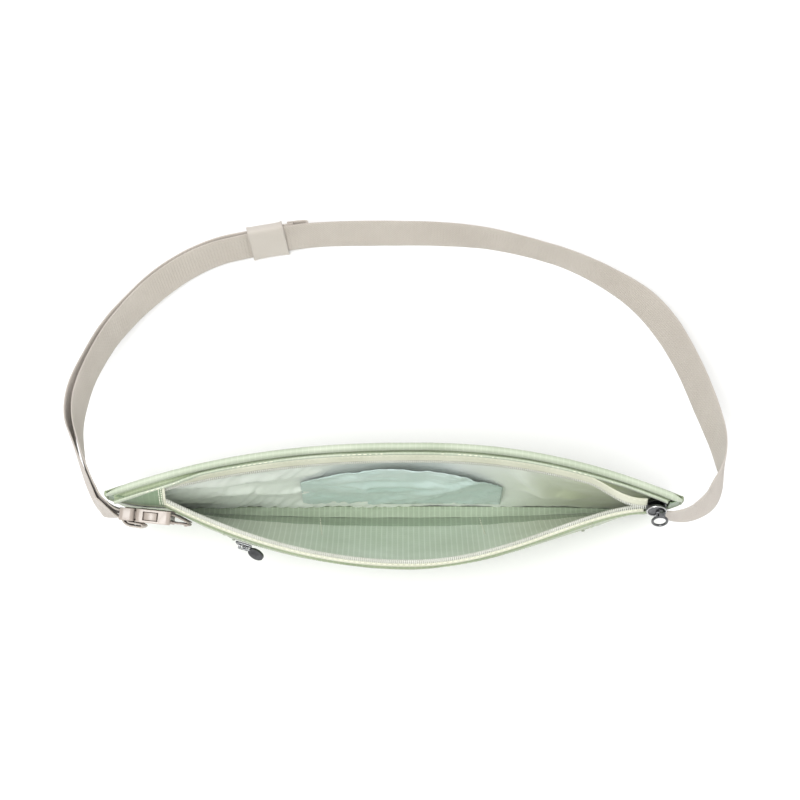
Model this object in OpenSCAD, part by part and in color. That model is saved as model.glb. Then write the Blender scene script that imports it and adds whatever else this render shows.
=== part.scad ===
// Money belt: flat zipped pouch on a webbing waist strap with a side-release buckle.
// Millimetres, +Z up. The pouch stands on its bottom fold, centred on the origin, front face to -Y.
// The strap leaves both ends of the front face, droops behind the pouch and rests on the ground.

/* [Pouch] */
// half of the pouch width, centre to side seam
half_w = 145; // [110:1:170]
// height of the pouch, bottom fold to top hem
pouch_h = 127; // [100:1:150]
// how far the back wall bows backwards at the hem
hem_bow = 12.8; // [5:0.2:25]
// how far the open front lip hangs forwards at its middle
lip_reach = 46.6; // [20:0.2:60]
// how far the front wall bellies out below the lip, 0 for flat
wall_belly = 0.7; // [0:0.05:1]
// thickness of the outer ripstop cloth
cloth_t = 0.7; // [0.4:0.1:1.2]
// thickness of the lining cloth
lining_t = 0.5; // [0.3:0.1:1]

/* [Zips] */
// left end of the main zip opening
zip_x0 = -117; // [-130:1:-90]
// right end of the main zip opening
zip_x1 = 127; // [100:1:135]
// thickness of the zip tape
tape_t = 0.5; // [0.3:0.1:0.8]
// left end of the front pocket zip
pocket_x0 = -86; // [-95:1:-50]
// right end of the front pocket zip
pocket_x1 = 101; // [80:1:115]

/* [Strap] */
// width of the webbing
web_w = 20; // [15:1:25]
// thickness of the webbing
web_t = 1.2; // [0.8:0.1:2]
// length of the keeper sleeve along the strap
keeper_len = 20; // [12:1:30]

/* [Buckle] */
// thickness of the buckle
buckle_t = 6.8; // [5:0.2:10]
// height of the buckle across the webbing
buckle_h = 26; // [22:1:34]

/* [Output] */
// which sub-part to draw

/* [Hidden] */

gap = 0.2;
floor_t = 0.8;
hem_t = 3.6;
hem_h = 8;
hem_x = 13;
tip_back = -12;
tip_back_right = -15;
tip_front = -12.6;
tip_front_right = -15.4;
lip_x = 8;
lip_end_left = -16;
lip_end_right = -19.6;
fold_front = 7;
fold_back = 4;
side_gap = 0.45;
strip_t0 = 0.775;
strip_t1 = 0.835;
lip_t = 0.96;
tape_x1 = zip_x1 - 9;

// ---- small helpers -------------------------------------------------------
function unit(v) = v / norm(v);
function clamp01(t) = min(1, max(0, t));
function smooth(a, b, x) = let (t = clamp01((x - a) / (b - a))) t * t * (3 - 2 * t);
function mix(a, b, t) = a + (b - a) * t;
function catmull(a, b, c, d, t) =
    0.5 * (2 * b + (c - a) * t + (2 * a - 5 * b + 4 * c - d) * t * t
           + (3 * b - a - 3 * c + d) * t * t * t);

// closed slab between two point grids; front is seen from -Y when i runs +X and j runs +Z
module slab(front, back, nu, nv) {
    n = (nu + 1) * (nv + 1);
    function a(i, j) = i * (nv + 1) + j;
    function b(i, j) = n + i * (nv + 1) + j;
    polyhedron(points = concat(front, back), faces = concat(
        [for (i = [0:nu - 1], j = [0:nv - 1]) [a(i, j), a(i, j + 1), a(i + 1, j + 1)]],
        [for (i = [0:nu - 1], j = [0:nv - 1]) [a(i, j), a(i + 1, j + 1), a(i + 1, j)]],
        [for (i = [0:nu - 1], j = [0:nv - 1]) [b(i, j), b(i + 1, j), b(i + 1, j + 1)]],
        [for (i = [0:nu - 1], j = [0:nv - 1]) [b(i, j), b(i + 1, j + 1), b(i, j + 1)]],
        [for (i = [0:nu - 1]) [a(i, 0), a(i + 1, 0), b(i + 1, 0)]],
        [for (i = [0:nu - 1]) [a(i, 0), b(i + 1, 0), b(i, 0)]],
        [for (i = [0:nu - 1]) [a(i + 1, nv), a(i, nv), b(i, nv)]],
        [for (i = [0:nu - 1]) [a(i + 1, nv), b(i, nv), b(i + 1, nv)]],
        [for (j = [0:nv - 1]) [a(0, j + 1), a(0, j), b(0, j)]],
        [for (j = [0:nv - 1]) [a(0, j + 1), b(0, j), b(0, j + 1)]],
        [for (j = [0:nv - 1]) [a(nu, j), a(nu, j + 1), b(nu, j + 1)]],
        [for (j = [0:nv - 1]) [a(nu, j), b(nu, j + 1), b(nu, j)]]));
}

// grid of points from the height levels of one surface, shifted along Y
function grid_back(x0, x1, z0, z1, nu, nv, shift) =
    [for (i = [0:nu], j = [0:nv])
        let (x = mix(x0, x1, i / nu), z = mix(z0, z1, j / nv)) [x, back_y(x, z) + shift, z]];
function grid_front(x0, x1, t0, t1, nu, nv, shift) =
    [for (i = [0:nu], j = [0:nv])
        let (x = mix(x0, x1, i / nu), t = mix(t0, t1, j / nv), z = mix(floor_t + 0.05, lip_z(x), t))
            [x, front_y(x, t) + shift, z]];

// ---- outline of the open pouch ------------------------------------------
// plan curve of the top hem's outer edge
function hem_y(x) = hem_bow - (x < hem_x
    ? (hem_bow - tip_back) * pow((hem_x - x) / (half_w + hem_x), 2.38)
    : (hem_bow - tip_back_right) * pow((x - hem_x) / (half_w - hem_x), 2.1));
// plan curve of the front lip, from tip to tip
function lip_y(x) =
    x < zip_x0 ? mix(tip_front, lip_end_left, sin(90 * (x + half_w) / (zip_x0 + half_w)))
    : x > zip_x1 ? mix(tip_front_right, lip_end_right, sin(90 * (half_w - x) / (half_w - zip_x1)))
    : x < lip_x ? mix(lip_end_left, -lip_reach, 1 - pow((x - lip_x) / (zip_x0 - lip_x), 2))
    : mix(lip_end_right, -lip_reach, pow(1 - pow((x - lip_x) / (zip_x1 - lip_x), 2), 1.8));
// height of the lip: the cloth hangs lower where it reaches further out
function lip_z(x) = 111 - 0.0045 * lip_y(x) * lip_y(x);
function bulge(x) = wall_belly * smooth(zip_x0, zip_x0 + 22, x) * smooth(zip_x1, zip_x1 - 22, x);
function depth(x) = sqrt(max(0, 1 - pow(x / half_w, 2)));
// back wall and front wall surfaces
function back_y(x, z) =
    hem_y(x) * z / pouch_h + (fold_back * depth(x) + side_gap) * (1 - z / pouch_h);
function front_y(x, t) =
    (lip_y(x) - 1) * mix(t, sin(90 * t), bulge(x)) - (fold_front * depth(x) + side_gap) * (1 - t);
// lower front edge of the cloth that closes the pouch beyond the zip's ends
function end_low(x) = [x, lip_y(x) - 1, lip_z(x) * lip_t + 1.3];
function tape_reach(x) = 0.58 + 0.42 * smooth(zip_x0, zip_x0 + 60, x);

// ---- pouch shell ---------------------------------------------------------
module back_panel() {
    color([0.62, 0.70, 0.60])
    slab(grid_back(-half_w, half_w, floor_t + 0.05, pouch_h - hem_h - gap, 40, 6, -cloth_t / 2),
         grid_back(-half_w, half_w, floor_t + 0.05, pouch_h - hem_h - gap, 40, 6, cloth_t / 2),
         40, 6);
}

module bottom_panel() {
    color([0.55, 0.63, 0.52])
    linear_extrude(height = floor_t)
    polygon(concat(
        [for (i = [0:36]) let (x = mix(-half_w + 0.5, half_w - 0.5, i / 36))
            [x, -fold_front * depth(x) - cloth_t / 2]],
        [for (i = [36:-1:0]) let (x = mix(-half_w + 0.5, half_w - 0.5, i / 36))
            [x, fold_back * depth(x) + cloth_t / 2]]));
}

// rolled fold along the top of the back wall
module top_hem() {
    n = 44;
    color([0.72, 0.80, 0.70])
    slab([for (i = [0:n], k = [0:4])
            let (x = mix(-half_w, half_w, i / n), c = [0.4, 0, 0, 0.5, 1.6][k],
                 z = [0, 0.8, 4.5, 7, 8][k]) [x, hem_y(x) - hem_t + c, pouch_h - hem_h + z]],
         [for (i = [0:n], k = [0:4])
            let (x = mix(-half_w, half_w, i / n), c = [0, 0, 0, 0.5, 1.6][k],
                 z = [0, 0.8, 4.5, 7, 8][k]) [x, hem_y(x) - c, pouch_h - hem_h + z]], n, 4);
}

// folded strip between the hem and the upper zip tape
module top_facing() {
    n = 40;
    x1 = zip_x1 - 1;
    color([0.70, 0.78, 0.66])
    slab([for (i = [0:n], j = [0:1]) let (x = mix(zip_x0, x1, i / n))
            [x, hem_y(x) - hem_t - 1.5 - 0.3 + 1.1 * j, 118 + 5 * j]],
         [for (i = [0:n], j = [0:1]) let (x = mix(zip_x0, x1, i / n))
            [x, hem_y(x) - hem_t - 0.8 - 0.3 + 0.9 * j, 118 + 5 * j]], n, 1);
}

module front_patch(x0, x1, t0, t1, nu, nv) {
    slab(grid_front(x0, x1, t0, t1, nu, nv, -cloth_t / 2),
         grid_front(x0, x1, t0, t1, nu, nv, cloth_t / 2), nu, nv);
}
module front_lower() {
    color([0.58, 0.66, 0.52])
    front_patch(pocket_x0 + gap, pocket_x1 - gap, 0, strip_t0 - 0.002, 26, 8);
}
module front_upper() {
    color([0.60, 0.68, 0.54])
    front_patch(pocket_x0 + gap, pocket_x1 - gap, strip_t1 + 0.002, lip_t, 26, 2);
}
module front_left() {
    color([0.58, 0.66, 0.52]) front_patch(-half_w, pocket_x0, 0, lip_t, 14, 8);
}
module front_right() {
    color([0.58, 0.66, 0.52]) front_patch(pocket_x1, half_w, 0, lip_t, 10, 8);
}

// cloth closing the pouch beyond each end of the main zip
module end_panel(x0, x1, nu) {
    function high(x) = [x, hem_y(x) - hem_t - 0.9, 121.5];
    slab([for (i = [0:nu], j = [0:3]) let (x = mix(x0, x1, i / nu))
            mix(end_low(x), high(x), j / 3) + [0, -cloth_t / 2, 1.2 * sin(60 * j)]],
         [for (i = [0:nu], j = [0:3]) let (x = mix(x0, x1, i / nu))
            mix(end_low(x), high(x), j / 3) + [0, cloth_t / 2, 1.2 * sin(60 * j) - 0.5]], nu, 3);
}
module end_panel_left() { color([0.57, 0.68, 0.57]) end_panel(-half_w, zip_x0, 8); }
module end_panel_right() { color([0.57, 0.68, 0.57]) end_panel(zip_x1 + 12, half_w, 4); }

// seam allowance that closes the front to the back at each side
module side_seam(side) {
    x0 = side * (half_w + 0.05);
    x1 = side * (half_w + 1.3);
    n = 8;
    edge_f = [for (j = [0:n]) let (z = mix(floor_t, pouch_h - hem_h, j / n))
        min(back_y(side * half_w, z), front_y(side * half_w, z / 111)) - cloth_t / 2];
    edge_b = [for (j = [0:n]) let (z = mix(floor_t, pouch_h - hem_h, j / n))
        max(back_y(side * half_w, z), front_y(side * half_w, z / 111)) + cloth_t / 2];
    slab([for (i = [0:1], j = [0:n])
            [min(x0, x1) + i * 1.25, edge_f[j], mix(floor_t, pouch_h - hem_h, j / n)]],
         [for (i = [0:1], j = [0:n])
            [min(x0, x1) + i * 1.25, edge_b[j], mix(floor_t, pouch_h - hem_h, j / n)]], 1, n);
}
module side_seam_left() { color([0.52, 0.60, 0.48]) side_seam(-1); }
module side_seam_right() { color([0.52, 0.60, 0.48]) side_seam(1); }

// ---- lining --------------------------------------------------------------
module lining_back() {
    function off(z) = -1.5 - 3.2 * smooth(92, 117, z);
    nu = 32;
    nv = 7;
    pts = [for (i = [0:nu], j = [0:nv])
        let (x = mix(-134, 134, i / nu), z = mix(floor_t + 0.6, 117, j / nv))
            [x, back_y(x, z) + off(z) * mix(0.6, 1, depth(x)), z]];
    color([0.84, 0.90, 0.86])
    slab([for (p = pts) p - [0, lining_t / 2, 0]], [for (p = pts) p + [0, lining_t / 2, 0]], nu, nv);
}
module lining_front() {
    color([0.66, 0.74, 0.62])
    slab(grid_front(-134, 132, 0.01, 0.93, 32, 8, 2.0 - lining_t / 2),
         grid_front(-134, 132, 0.01, 0.93, 32, 8, 2.0 + lining_t / 2), 32, 8);
}
// slack inner pocket that hangs in front of the back lining
module divider_pocket() {
    nu = 18;
    nv = 6;
    pts = [for (i = [0:nu], j = [0:nv])
        let (u = mix(-1, 1, i / nu), v = j / nv, x = 4 + 54 * u, top = 103 - 34 * u * u,
             z = mix(8, top, v)) [x, back_y(x, z) - 2.6 - 5.5 * v * (1 - u * u), z]];
    color([0.66, 0.78, 0.75])
    slab([for (p = pts) p - [0, 0.2, 0]], [for (p = pts) p + [0, 0.2, 0]], nu, nv);
}
// back wall of the front pocket, between the front cloth and the lining
module pocket_bag() {
    color([0.50, 0.58, 0.46])
    slab(grid_front(pocket_x0 + 2, pocket_x1 - 2, 0.05, strip_t0 - 0.03, 24, 6, 0.9),
         grid_front(pocket_x0 + 2, pocket_x1 - 2, 0.05, strip_t0 - 0.03, 24, 6, 1.2), 24, 6);
}
// two seam lines that tack the pocket bag through the lining
module lining_stitches() {
    color([0.86, 0.86, 0.76])
    for (x = [-41, 47], k = [0:5]) let (t = 0.03 + 0.045 * k, z = mix(floor_t + 0.05, lip_z(x), t))
        translate([x - 0.4, front_y(x, t) + 2.0 + lining_t / 2 - 0.1, z]) cube([0.8, 0.5, 2.6]);
}

// ---- main zip ------------------------------------------------------------
module main_tape_upper() {
    n = 40;
    function p(x, j) = [x, hem_y(x) - hem_t - 1.9 - (j == 0 ? 1.4 * tape_reach(x) : 0),
                        j == 0 ? 115.4 : 119.8];
    color([0.88, 0.88, 0.78])
    slab([for (i = [0:n], j = [0:1]) let (x = mix(zip_x0, tape_x1, i / n)) p(x, j) - [0, tape_t, 0]],
         [for (i = [0:n], j = [0:1]) let (x = mix(zip_x0, tape_x1, i / n)) p(x, j)], n, 1);
}
module main_coil_upper() {
    n = 40;
    function p(x, j) = [x, hem_y(x) - hem_t - 2.3 - 1.4 * tape_reach(x) - 0.3 + 0.3 * j,
                        113.2 + 2 * j];
    color([0.93, 0.92, 0.86])
    slab([for (i = [0:n], j = [0:1]) let (x = mix(zip_x0, tape_x1, i / n)) p(x, j) - [0, 0.8, 0]],
         [for (i = [0:n], j = [0:1]) let (x = mix(zip_x0, tape_x1, i / n)) p(x, j) + [0, 0.8, 0]], n, 1);
}
function lip_point(x, dy, dz) = [x, lip_y(x) + dy, lip_z(x) + dz];
module main_tape_lower() {
    n = 40;
    color([0.88, 0.88, 0.78])
    slab([for (i = [0:n], j = [0:2]) let (x = mix(zip_x0 + gap, zip_x1 - gap, i / n))
            lip_point(x, [0.2, -0.1, 0.5][j] - tape_t / 2, [-3.6, -1, 0.9][j])],
         [for (i = [0:n], j = [0:2]) let (x = mix(zip_x0 + gap, zip_x1 - gap, i / n))
            lip_point(x, [0.2, -0.1, 0.5][j] + tape_t / 2, [-3.6, -1, 0.9][j])], n, 2);
}
module main_coil_lower() {
    n = 40;
    color([0.93, 0.92, 0.86])
    slab([for (i = [0:n], j = [0:1]) let (x = mix(zip_x0 + gap, zip_x1 - gap, i / n))
            lip_point(x, 0.9 + 1.4 * j, 1.8 + 0.3 * j)],
         [for (i = [0:n], j = [0:1]) let (x = mix(zip_x0 + gap, zip_x1 - gap, i / n))
            lip_point(x, 0.9 + 1.4 * j, 0.2 + 0.3 * j)], n, 1);
}
// stitched bar across the left end of the main zip
module zip_end_stitch() {
    color([0.90, 0.90, 0.80])
    slab([for (i = [0:1], j = [0:4]) stitch_point(i, j) - [0, 0.9, -0.3]],
         [for (i = [0:1], j = [0:4]) stitch_point(i, j) - [0, 0.4, 0]], 1, 4);
}
function stitch_point(i, j) =
    let (x = zip_x0 - 1.6 + 1.2 * i, low = end_low(x) - [0, 0.35, 0],
         high = [x, hem_y(x) - hem_t - 1.25, 121.5], f = mix(0.06, 0.94, j / 4))
        mix(low, high, f) + [0, 0, 1.2 * sin(180 * f)];

slider_pos = [132.6, -19.0, 115.2];
slider_tilt = 60;
slider_l = 10.6;
slider_w = 8.4;
plate_t = 1.1;
bridge_x = 2.2;
puller_up = 3.19;
puller_pin = slider_pos + [bridge_x, 0, 0] + puller_up * [0, -sin(slider_tilt), cos(slider_tilt)];
puller_lean = 27;
puller_eye = 3.2;
ring_r = 3.7;
wire_r = 0.55;
// two oval plates on a wedge, with a bored bridge on the outer plate
module main_slider() {
    color([0.24, 0.24, 0.25])
    translate(slider_pos) rotate([slider_tilt, 0, 0]) {
        for (z = [plate_t, -2 * plate_t]) translate([0, 0, z]) scale([slider_l / slider_w, 1, 1])
            cylinder(h = plate_t, d = slider_w, $fn = 48);
        translate([-0.2, -0.6, -1.2]) cube([4.8, 1.2, 2.4]);
        difference() {
            translate([bridge_x - 1.05, -1.5, 2.1]) cube([2.1, 3, 2.9]);
            translate([bridge_x - 2, 0, puller_up]) rotate([0, 90, 0])
                cylinder(h = 4, r = wire_r + 0.25, $fn = 32);
        }
    }
}
// wire loop through the slider's bridge with the round pull below it
module main_puller() {
    color([0.20, 0.20, 0.21])
    translate(puller_pin) rotate([-puller_lean, 0, 0]) {
        rotate([0, 90, 0]) cylinder(h = 4.4, r = wire_r, center = true, $fn = 24);
        for (s = [-1, 1]) translate([s * 1.9, 0, -puller_eye])
            cylinder(h = puller_eye, r = wire_r, $fn = 24);
        translate([0, 0, -puller_eye]) rotate([0, 90, 0])
            cylinder(h = 4.9, r = wire_r + 0.15, center = true, $fn = 24);
        translate([0, 0, -puller_eye - 0.3 - ring_r]) rotate([90, 0, 0])
            rotate_extrude($fn = 48) translate([ring_r, 0]) circle(r = wire_r + 0.13, $fn = 20);
    }
}

// ---- front pocket zip ----------------------------------------------------
module strip_band(x0, x1, t0, t1, near, far, n) {
    slab(grid_front(x0, x1, t0, t1, n, 1, near), grid_front(x0, x1, t0, t1, n, 1, far), n, 1);
}
module pocket_tape_lower() {
    color([0.62, 0.68, 0.56])
    strip_band(pocket_x0 + gap, pocket_x1 - gap, strip_t0, 0.796, -0.25, 0.25, 24);
}
module pocket_tape_upper() {
    color([0.62, 0.68, 0.56])
    strip_band(pocket_x0 + gap, pocket_x1 - gap, 0.814, strip_t1, -0.25, 0.25, 24);
}
module pocket_coil() {
    color([0.60, 0.66, 0.54])
    strip_band(pocket_x0 + 1, pocket_x1 - 1, 0.797, 0.813, -0.7, 0.7, 24);
}
module pocket_bartacks() {
    color([0.36, 0.40, 0.30])
    for (x = [pocket_x0 + 2.5, pocket_x1 - 4]) let (z = mix(floor_t + 0.05, lip_z(x), 0.785))
        translate([x, front_y(x, 0.805) - 1.9, z]) cube([1.3, 0.7, 4.6]);
}
pocket_slider_x = -77;
module at_pocket_slider() {
    x = pocket_slider_x;
    z = mix(floor_t + 0.05, lip_z(x), 0.805);
    yaw = atan2(front_y(x + 5, 0.805) - front_y(x - 5, 0.805), 10);
    translate([x, front_y(x, 0.805), z]) rotate([0, 0, yaw]) children();
}
module pocket_slider() {
    color([0.24, 0.24, 0.25]) at_pocket_slider() {
        translate([-4.2, -2.5, -3.6]) cube([8.4, 1.1, 7.2]);
        difference() {
            translate([-2.5, -4.6, -1.1]) cube([5, 2.5, 2.2]);
            translate([-1.4, -3.8, -2]) cube([2.8, 1.5, 4]);
        }
    }
}
pocket_pin_y = -3.2;
pull_lean = 12;
pull_turn = 50;
pull_l = 8.6;
pull_w = 5.4;
// oval textured pull on a wire eye, lying along the zip with its face turned up
module pocket_puller() {
    color([0.18, 0.18, 0.19]) at_pocket_slider() translate([0, pocket_pin_y, 0])
    rotate([0, 0, -pull_lean]) {
        cylinder(h = 3.6, r = 0.5, center = true, $fn = 24);
        for (s = [-1, 1]) translate([0, 0, s * 1.7]) rotate([0, 90, 0])
            cylinder(h = 3.4, r = 0.45, $fn = 24);
        translate([3.4, 0, 0]) cylinder(h = 4.2, r = 0.5, center = true, $fn = 24);
        translate([3.2 + pull_l / 2, 0, 0]) rotate([90 - pull_turn, 0, 0])
            scale([pull_l / pull_w, 1, 1]) cylinder(h = 1.6, d = pull_w, center = true, $fn = 40);
    }
}

// ---- strap ---------------------------------------------------------------
// centre line [x, y, z, lean of the top edge outwards, gap to the doubled tail]
strap_line = [[128, -18.8, 97, 0, 0], [137, -19.1, 97, 0, 0], [143, -19.6, 96.6, -3, 0],
    [152.5, -17.6, 93.4, -15, 0], [161, -12.4, 89.8, -22, 0], [167, -5, 85.6, -24, 0],
    [171, 3.2, 81, -13, 0], [172, 12, 76.4, 7, 0], [171, 26, 68.4, 22, 0],
    [167, 45, 56.6, 31, 0], [160, 72, 39.6, 35, 0], [150.5, 95, 27, 37, 0],
    [138, 113, 18.4, 35, 0], [121, 127, 12.8, 25, 0], [100, 138.5, 10.2, 18, 0],
    [78, 146, 9.9, 17, 0], [52, 152, 9.8, 21, 0], [25, 154.6, 9.5, 26, 0],
    [0, 155.2, 9.6, 28, 0], [-22, 154.8, 10.4, 28, 0], [-40, 153.8, 12, 28, 1.9],
    [-56, 151.9, 13, 28, 1.9], [-71, 149, 13.2, 28, 1.9], [-86, 146.1, 13.2, 28, 1.9],
    [-101, 142, 13.2, 29, 2.1], [-116, 134.4, 14.4, 31, 2.1], [-131, 122.4, 18.6, 33, 2.1],
    [-145, 106, 26.6, 28, 2.2], [-156, 88, 37, 22, 2.6], [-163.5, 68, 49.4, 18, 3.4],
    [-167.3, 49, 61.4, 17, 4.2], [-167.4, 33, 71, 9, 3.9], [-164, 18, 79.4, -1, 2.6],
    [-159.4, 4.6, 86.2, -7, 2.0], [-154.2, -6.6, 91.4, -10, 1.9], [-148.2, -14.4, 95, -8, 2.4],
    [-140, -17.6, 97, -6, 2.8], [-132, -19.4, 98, -6, 3]];
split_i = 30;
tail_i0 = 21;
sub = 3;
function line_at(k, t) = catmull(strap_line[k - 1], strap_line[k], strap_line[k + 1],
                                 strap_line[k + 2], t);
function line_between(k0, k1, skip) = concat(
    [for (k = [k0:k1 - 1], s = [0:sub - 1]) line_at(k, s == 0 && k == k0 ? skip : s / sub)],
    [strap_line[k1]]);
function pos(p) = [p[0], p[1], p[2]];
function slope_at(L, i) =
    unit(pos(L[min(i + 1, len(L) - 1)]) - pos(L[max(i - 1, 0)]));
function out_of(T) = unit(cross(T, [0, 0, 1]));
function width_of(T, lean) = let (o = out_of(T)) cos(lean) * unit(cross(o, T)) + sin(lean) * o;
// centre, width direction and outward normal at every station
function stations(L, outward) = [for (i = [0:len(L) - 1])
    let (T = slope_at(L, i), w = width_of(T, L[i][3]), n = unit(cross(T, w)))
        [pos(L[i]) + (outward ? n * L[i][4] : [0, 0, 0]), w, n]];

module band(S, half, thick) {
    k = len(S) - 1;
    slab([for (s = S, j = [-1, 1]) s[0] + s[1] * half * j + s[2] * thick / 2],
         [for (s = S, j = [-1, 1]) s[0] + s[1] * half * j - s[2] * thick / 2], k, 1);
}
module strap_back() {
    color([0.78, 0.74, 0.69]) band(stations(line_between(1, split_i, 0), false), web_w / 2, web_t);
}
module tail_back() {
    color([0.78, 0.74, 0.69])
    band(stations(line_between(tail_i0, split_i, 0), true), web_w / 2 - 0.2, web_t);
}
// stitched double fold that stops the tail from slipping through the keeper
module tail_end() {
    L = line_between(tail_i0 - 1, tail_i0, 0.3);
    S = stations(L, true);
    color([0.70, 0.66, 0.61])
    band([for (s = S) [s[0] + s[2] * 0.7, s[1], s[2]]], web_w / 2 - 0.4, 2.4);
}
keeper_k = 22;
function keeper_frame() =
    let (T = unit(pos(strap_line[keeper_k + 1]) - pos(strap_line[keeper_k - 1])),
         w = width_of(T, strap_line[keeper_k][3])) [T, w, unit(cross(T, w))];
module keeper() {
    f = keeper_frame();
    c = pos(strap_line[keeper_k]) + f[2] * 0.95;
    color([0.82, 0.79, 0.74])
    multmatrix([[f[0][0], f[1][0], f[2][0], c[0]], [f[0][1], f[1][1], f[2][1], c[1]],
                [f[0][2], f[1][2], f[2][2], c[2]]])
    difference() {
        cube([keeper_len, web_w + 3.4, 6.0], center = true);
        cube([keeper_len + 2, web_w + 1.4, 4.1], center = true);
    }
}
// box of stitching that holds the strap's right end to the front cloth
module strap_stitch() {
    color([0.70, 0.66, 0.60])
    translate([137.4, -17.4, 97]) rotate([0, 0, -6])
        for (z = [-7.5, 0, 7.5]) translate([0, 0, z]) cube([1, 2.4, 3], center = true);
}

// ---- buckle --------------------------------------------------------------
buckle_pos = [-126, -20.2, 97];
buckle_yaw = -6;
buckle_tilt = 10;
function rot_z(v, a) = [v[0] * cos(a) - v[1] * sin(a), v[0] * sin(a) + v[1] * cos(a), v[2]];
function rot_x(v, a) = [v[0], v[1] * cos(a) - v[2] * sin(a), v[1] * sin(a) + v[2] * cos(a)];
function at_buckle(v) = rot_z(rot_x(v, buckle_tilt), buckle_yaw) + buckle_pos;
buckle_up = at_buckle([0, 0, 1]) - buckle_pos;
module in_buckle() { translate(buckle_pos) rotate([buckle_tilt, 0, buckle_yaw]) children(); }
// prism through the buckle's thickness, outline in its own X and Z
module plate(thick, shift = 0) {
    translate([0, shift, 0]) rotate([90, 0, 0]) linear_extrude(height = thick, center = true)
        children();
}
module round_box(x0, x1, half, r) {
    translate([x0 + r, -half]) square([x1 - x0 - 2 * r, 2 * half]);
    translate([x0, -half + r]) square([x1 - x0, 2 * half - 2 * r]);
    for (x = [x0 + r, x1 - r], z = [-half + r, half - r]) translate([x, z]) circle(r = r, $fn = 40);
}
module buckle_female() {
    h = buckle_h / 2;
    color([0.80, 0.72, 0.69]) in_buckle() difference() {
        plate(buckle_t) round_box(-5.5, 12.5, h, 2.4);
        plate(4.4) polygon([[-6.5, -h + 1.1], [-6.5, h - 1.1], [-1.5, h - 0.55], [-1.5, h + 1],
                            [6.2, h + 1], [6.2, -h - 1], [-1.5, -h - 1], [-1.5, -h + 0.55]]);
        plate(buckle_t + 2) translate([8.5, -web_w / 2 - 0.3]) square([2.2, web_w + 0.6]);
        for (s = [-1, 1]) plate(3.4, s * 2.8)
            translate([10.6, -web_w / 2 - 0.3]) square([3, web_w + 0.6]);
    }
}
module buckle_male() {
    h = buckle_h / 2;
    color([0.76, 0.70, 0.67]) in_buckle() {
        difference() {
            plate(buckle_t - 0.4) round_box(-13.8, -6, h, 2.4);
            plate(buckle_t + 2) translate([-10.9, -web_w / 2 - 0.3]) square([2.4, web_w + 0.6]);
            for (s = [-1, 1]) plate(3.4, s * 2.8)
                translate([-15, -web_w / 2 - 0.3]) square([4.3, web_w + 0.6]);
            for (s = [-1, 1]) plate(4.2) translate([-6.6, s * 8.4]) circle(r = 1.25, $fn = 32);
            for (s = [-1, 1]) plate(4.2) translate([-6.6, s * 8.4 - 1.25]) square([2, 2.5]);
        }
        plate(3.2) translate([-6.1, -3.6]) square([10.2, 7.2]);
    }
}
// springy side arm with the finger pad that shows in the housing's window
module arm(s) {
    color([0.84, 0.76, 0.73]) in_buckle() plate(3.8) scale([1, s]) {
        translate([-6.6, 8.4]) circle(r = 0.9, $fn = 32);
        polygon([[-6.9, 7.6], [-3, 8.6], [5.0, 9.4], [5.7, 10.2], [5.5, 12.2], [3, 12.8],
                 [0.8, 12.6], [-0.9, 12.0], [-0.9, 10.4], [-6.4, 9.28]]);
    }
}
module arm_upper() { arm(1); }
module arm_lower() { arm(-1); }

// webbing round the buckle's bar and back along the outside: one folded strip
fold_path = [[-14.4, 2.0], [-12.4, 1.95], [-11.0, 1.85], [-9.95, 1.0], [-9.75, -0.6],
    [-9.7, -2.4], [-9.3, -3.7], [-7.8, -4.25], [-4.6, -4.4], [-2.4, -4.65], [-1.5, -5.35],
    [-2.4, -6.05], [-4.8, -5.95], [-8, -5.8], [-10.7, -4.7], [-12.4, -2.75],
    [-14.4, -1.7]];
module strap_front() {
    main = stations(line_between(split_i, 35, 0.04), false);
    back = stations(line_between(split_i, 35, 0.04), true);
    m = len(main) - 1;
    P = concat([for (s = main) s[0]], [for (q = fold_path) at_buckle([q[0], q[1], 0])],
               [for (i = [m:-1:0]) back[i][0]]);
    k = len(P) - 1;
    nf = len(fold_path);
    W = concat([for (s = main) s[1]], [for (q = fold_path) buckle_up], [for (i = [m:-1:0]) back[i][1]]);
    S = [for (i = [0:k]) let (T = i == 0 ? slope_at(main_line(), 0)
                                : i == k ? -slope_at(main_line(), 0)
                                : unit(P[min(i + 1, k)] - P[max(i - 1, 0)]),
                              n = unit(cross(T, W[i]))) [P[i], W[i], n]];
    color([0.76, 0.72, 0.67]) band(S, web_w / 2 - 0.1, web_t);
}
function main_line() = line_between(split_i, 35, 0.04);

// fixed loop of webbing from the housing's slot to the front seam
module buckle_tab() {
    loop = [[21.6, -1.4], [18.5, 0], [14.4, 1.6], [12.4, 1.85], [10.9, 1.75], [9.9, 1.1],
            [9.6, 0], [9.9, -1.1], [10.9, -1.75], [12.4, -1.95], [14.4, -2.2], [18, -2.2],
            [21.6, -2.65]];
    k = len(loop) - 1;
    P = [for (q = loop) at_buckle([q[0], q[1], 0])];
    S = [for (i = [0:k]) let (T = unit(P[min(i + 1, k)] - P[max(i - 1, 0)]))
        [P[i], buckle_up, unit(cross(T, buckle_up))]];
    color([0.62, 0.58, 0.55]) band(S, web_w / 2 - 0.5, 1.0);
}
module tab_stitch() {
    color([0.55, 0.51, 0.47]) in_buckle()
        for (z = [-7.5, 0, 7.5]) translate([20.2, -1.2, z]) cube([0.9, 3.4, 3], center = true);
}

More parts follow.
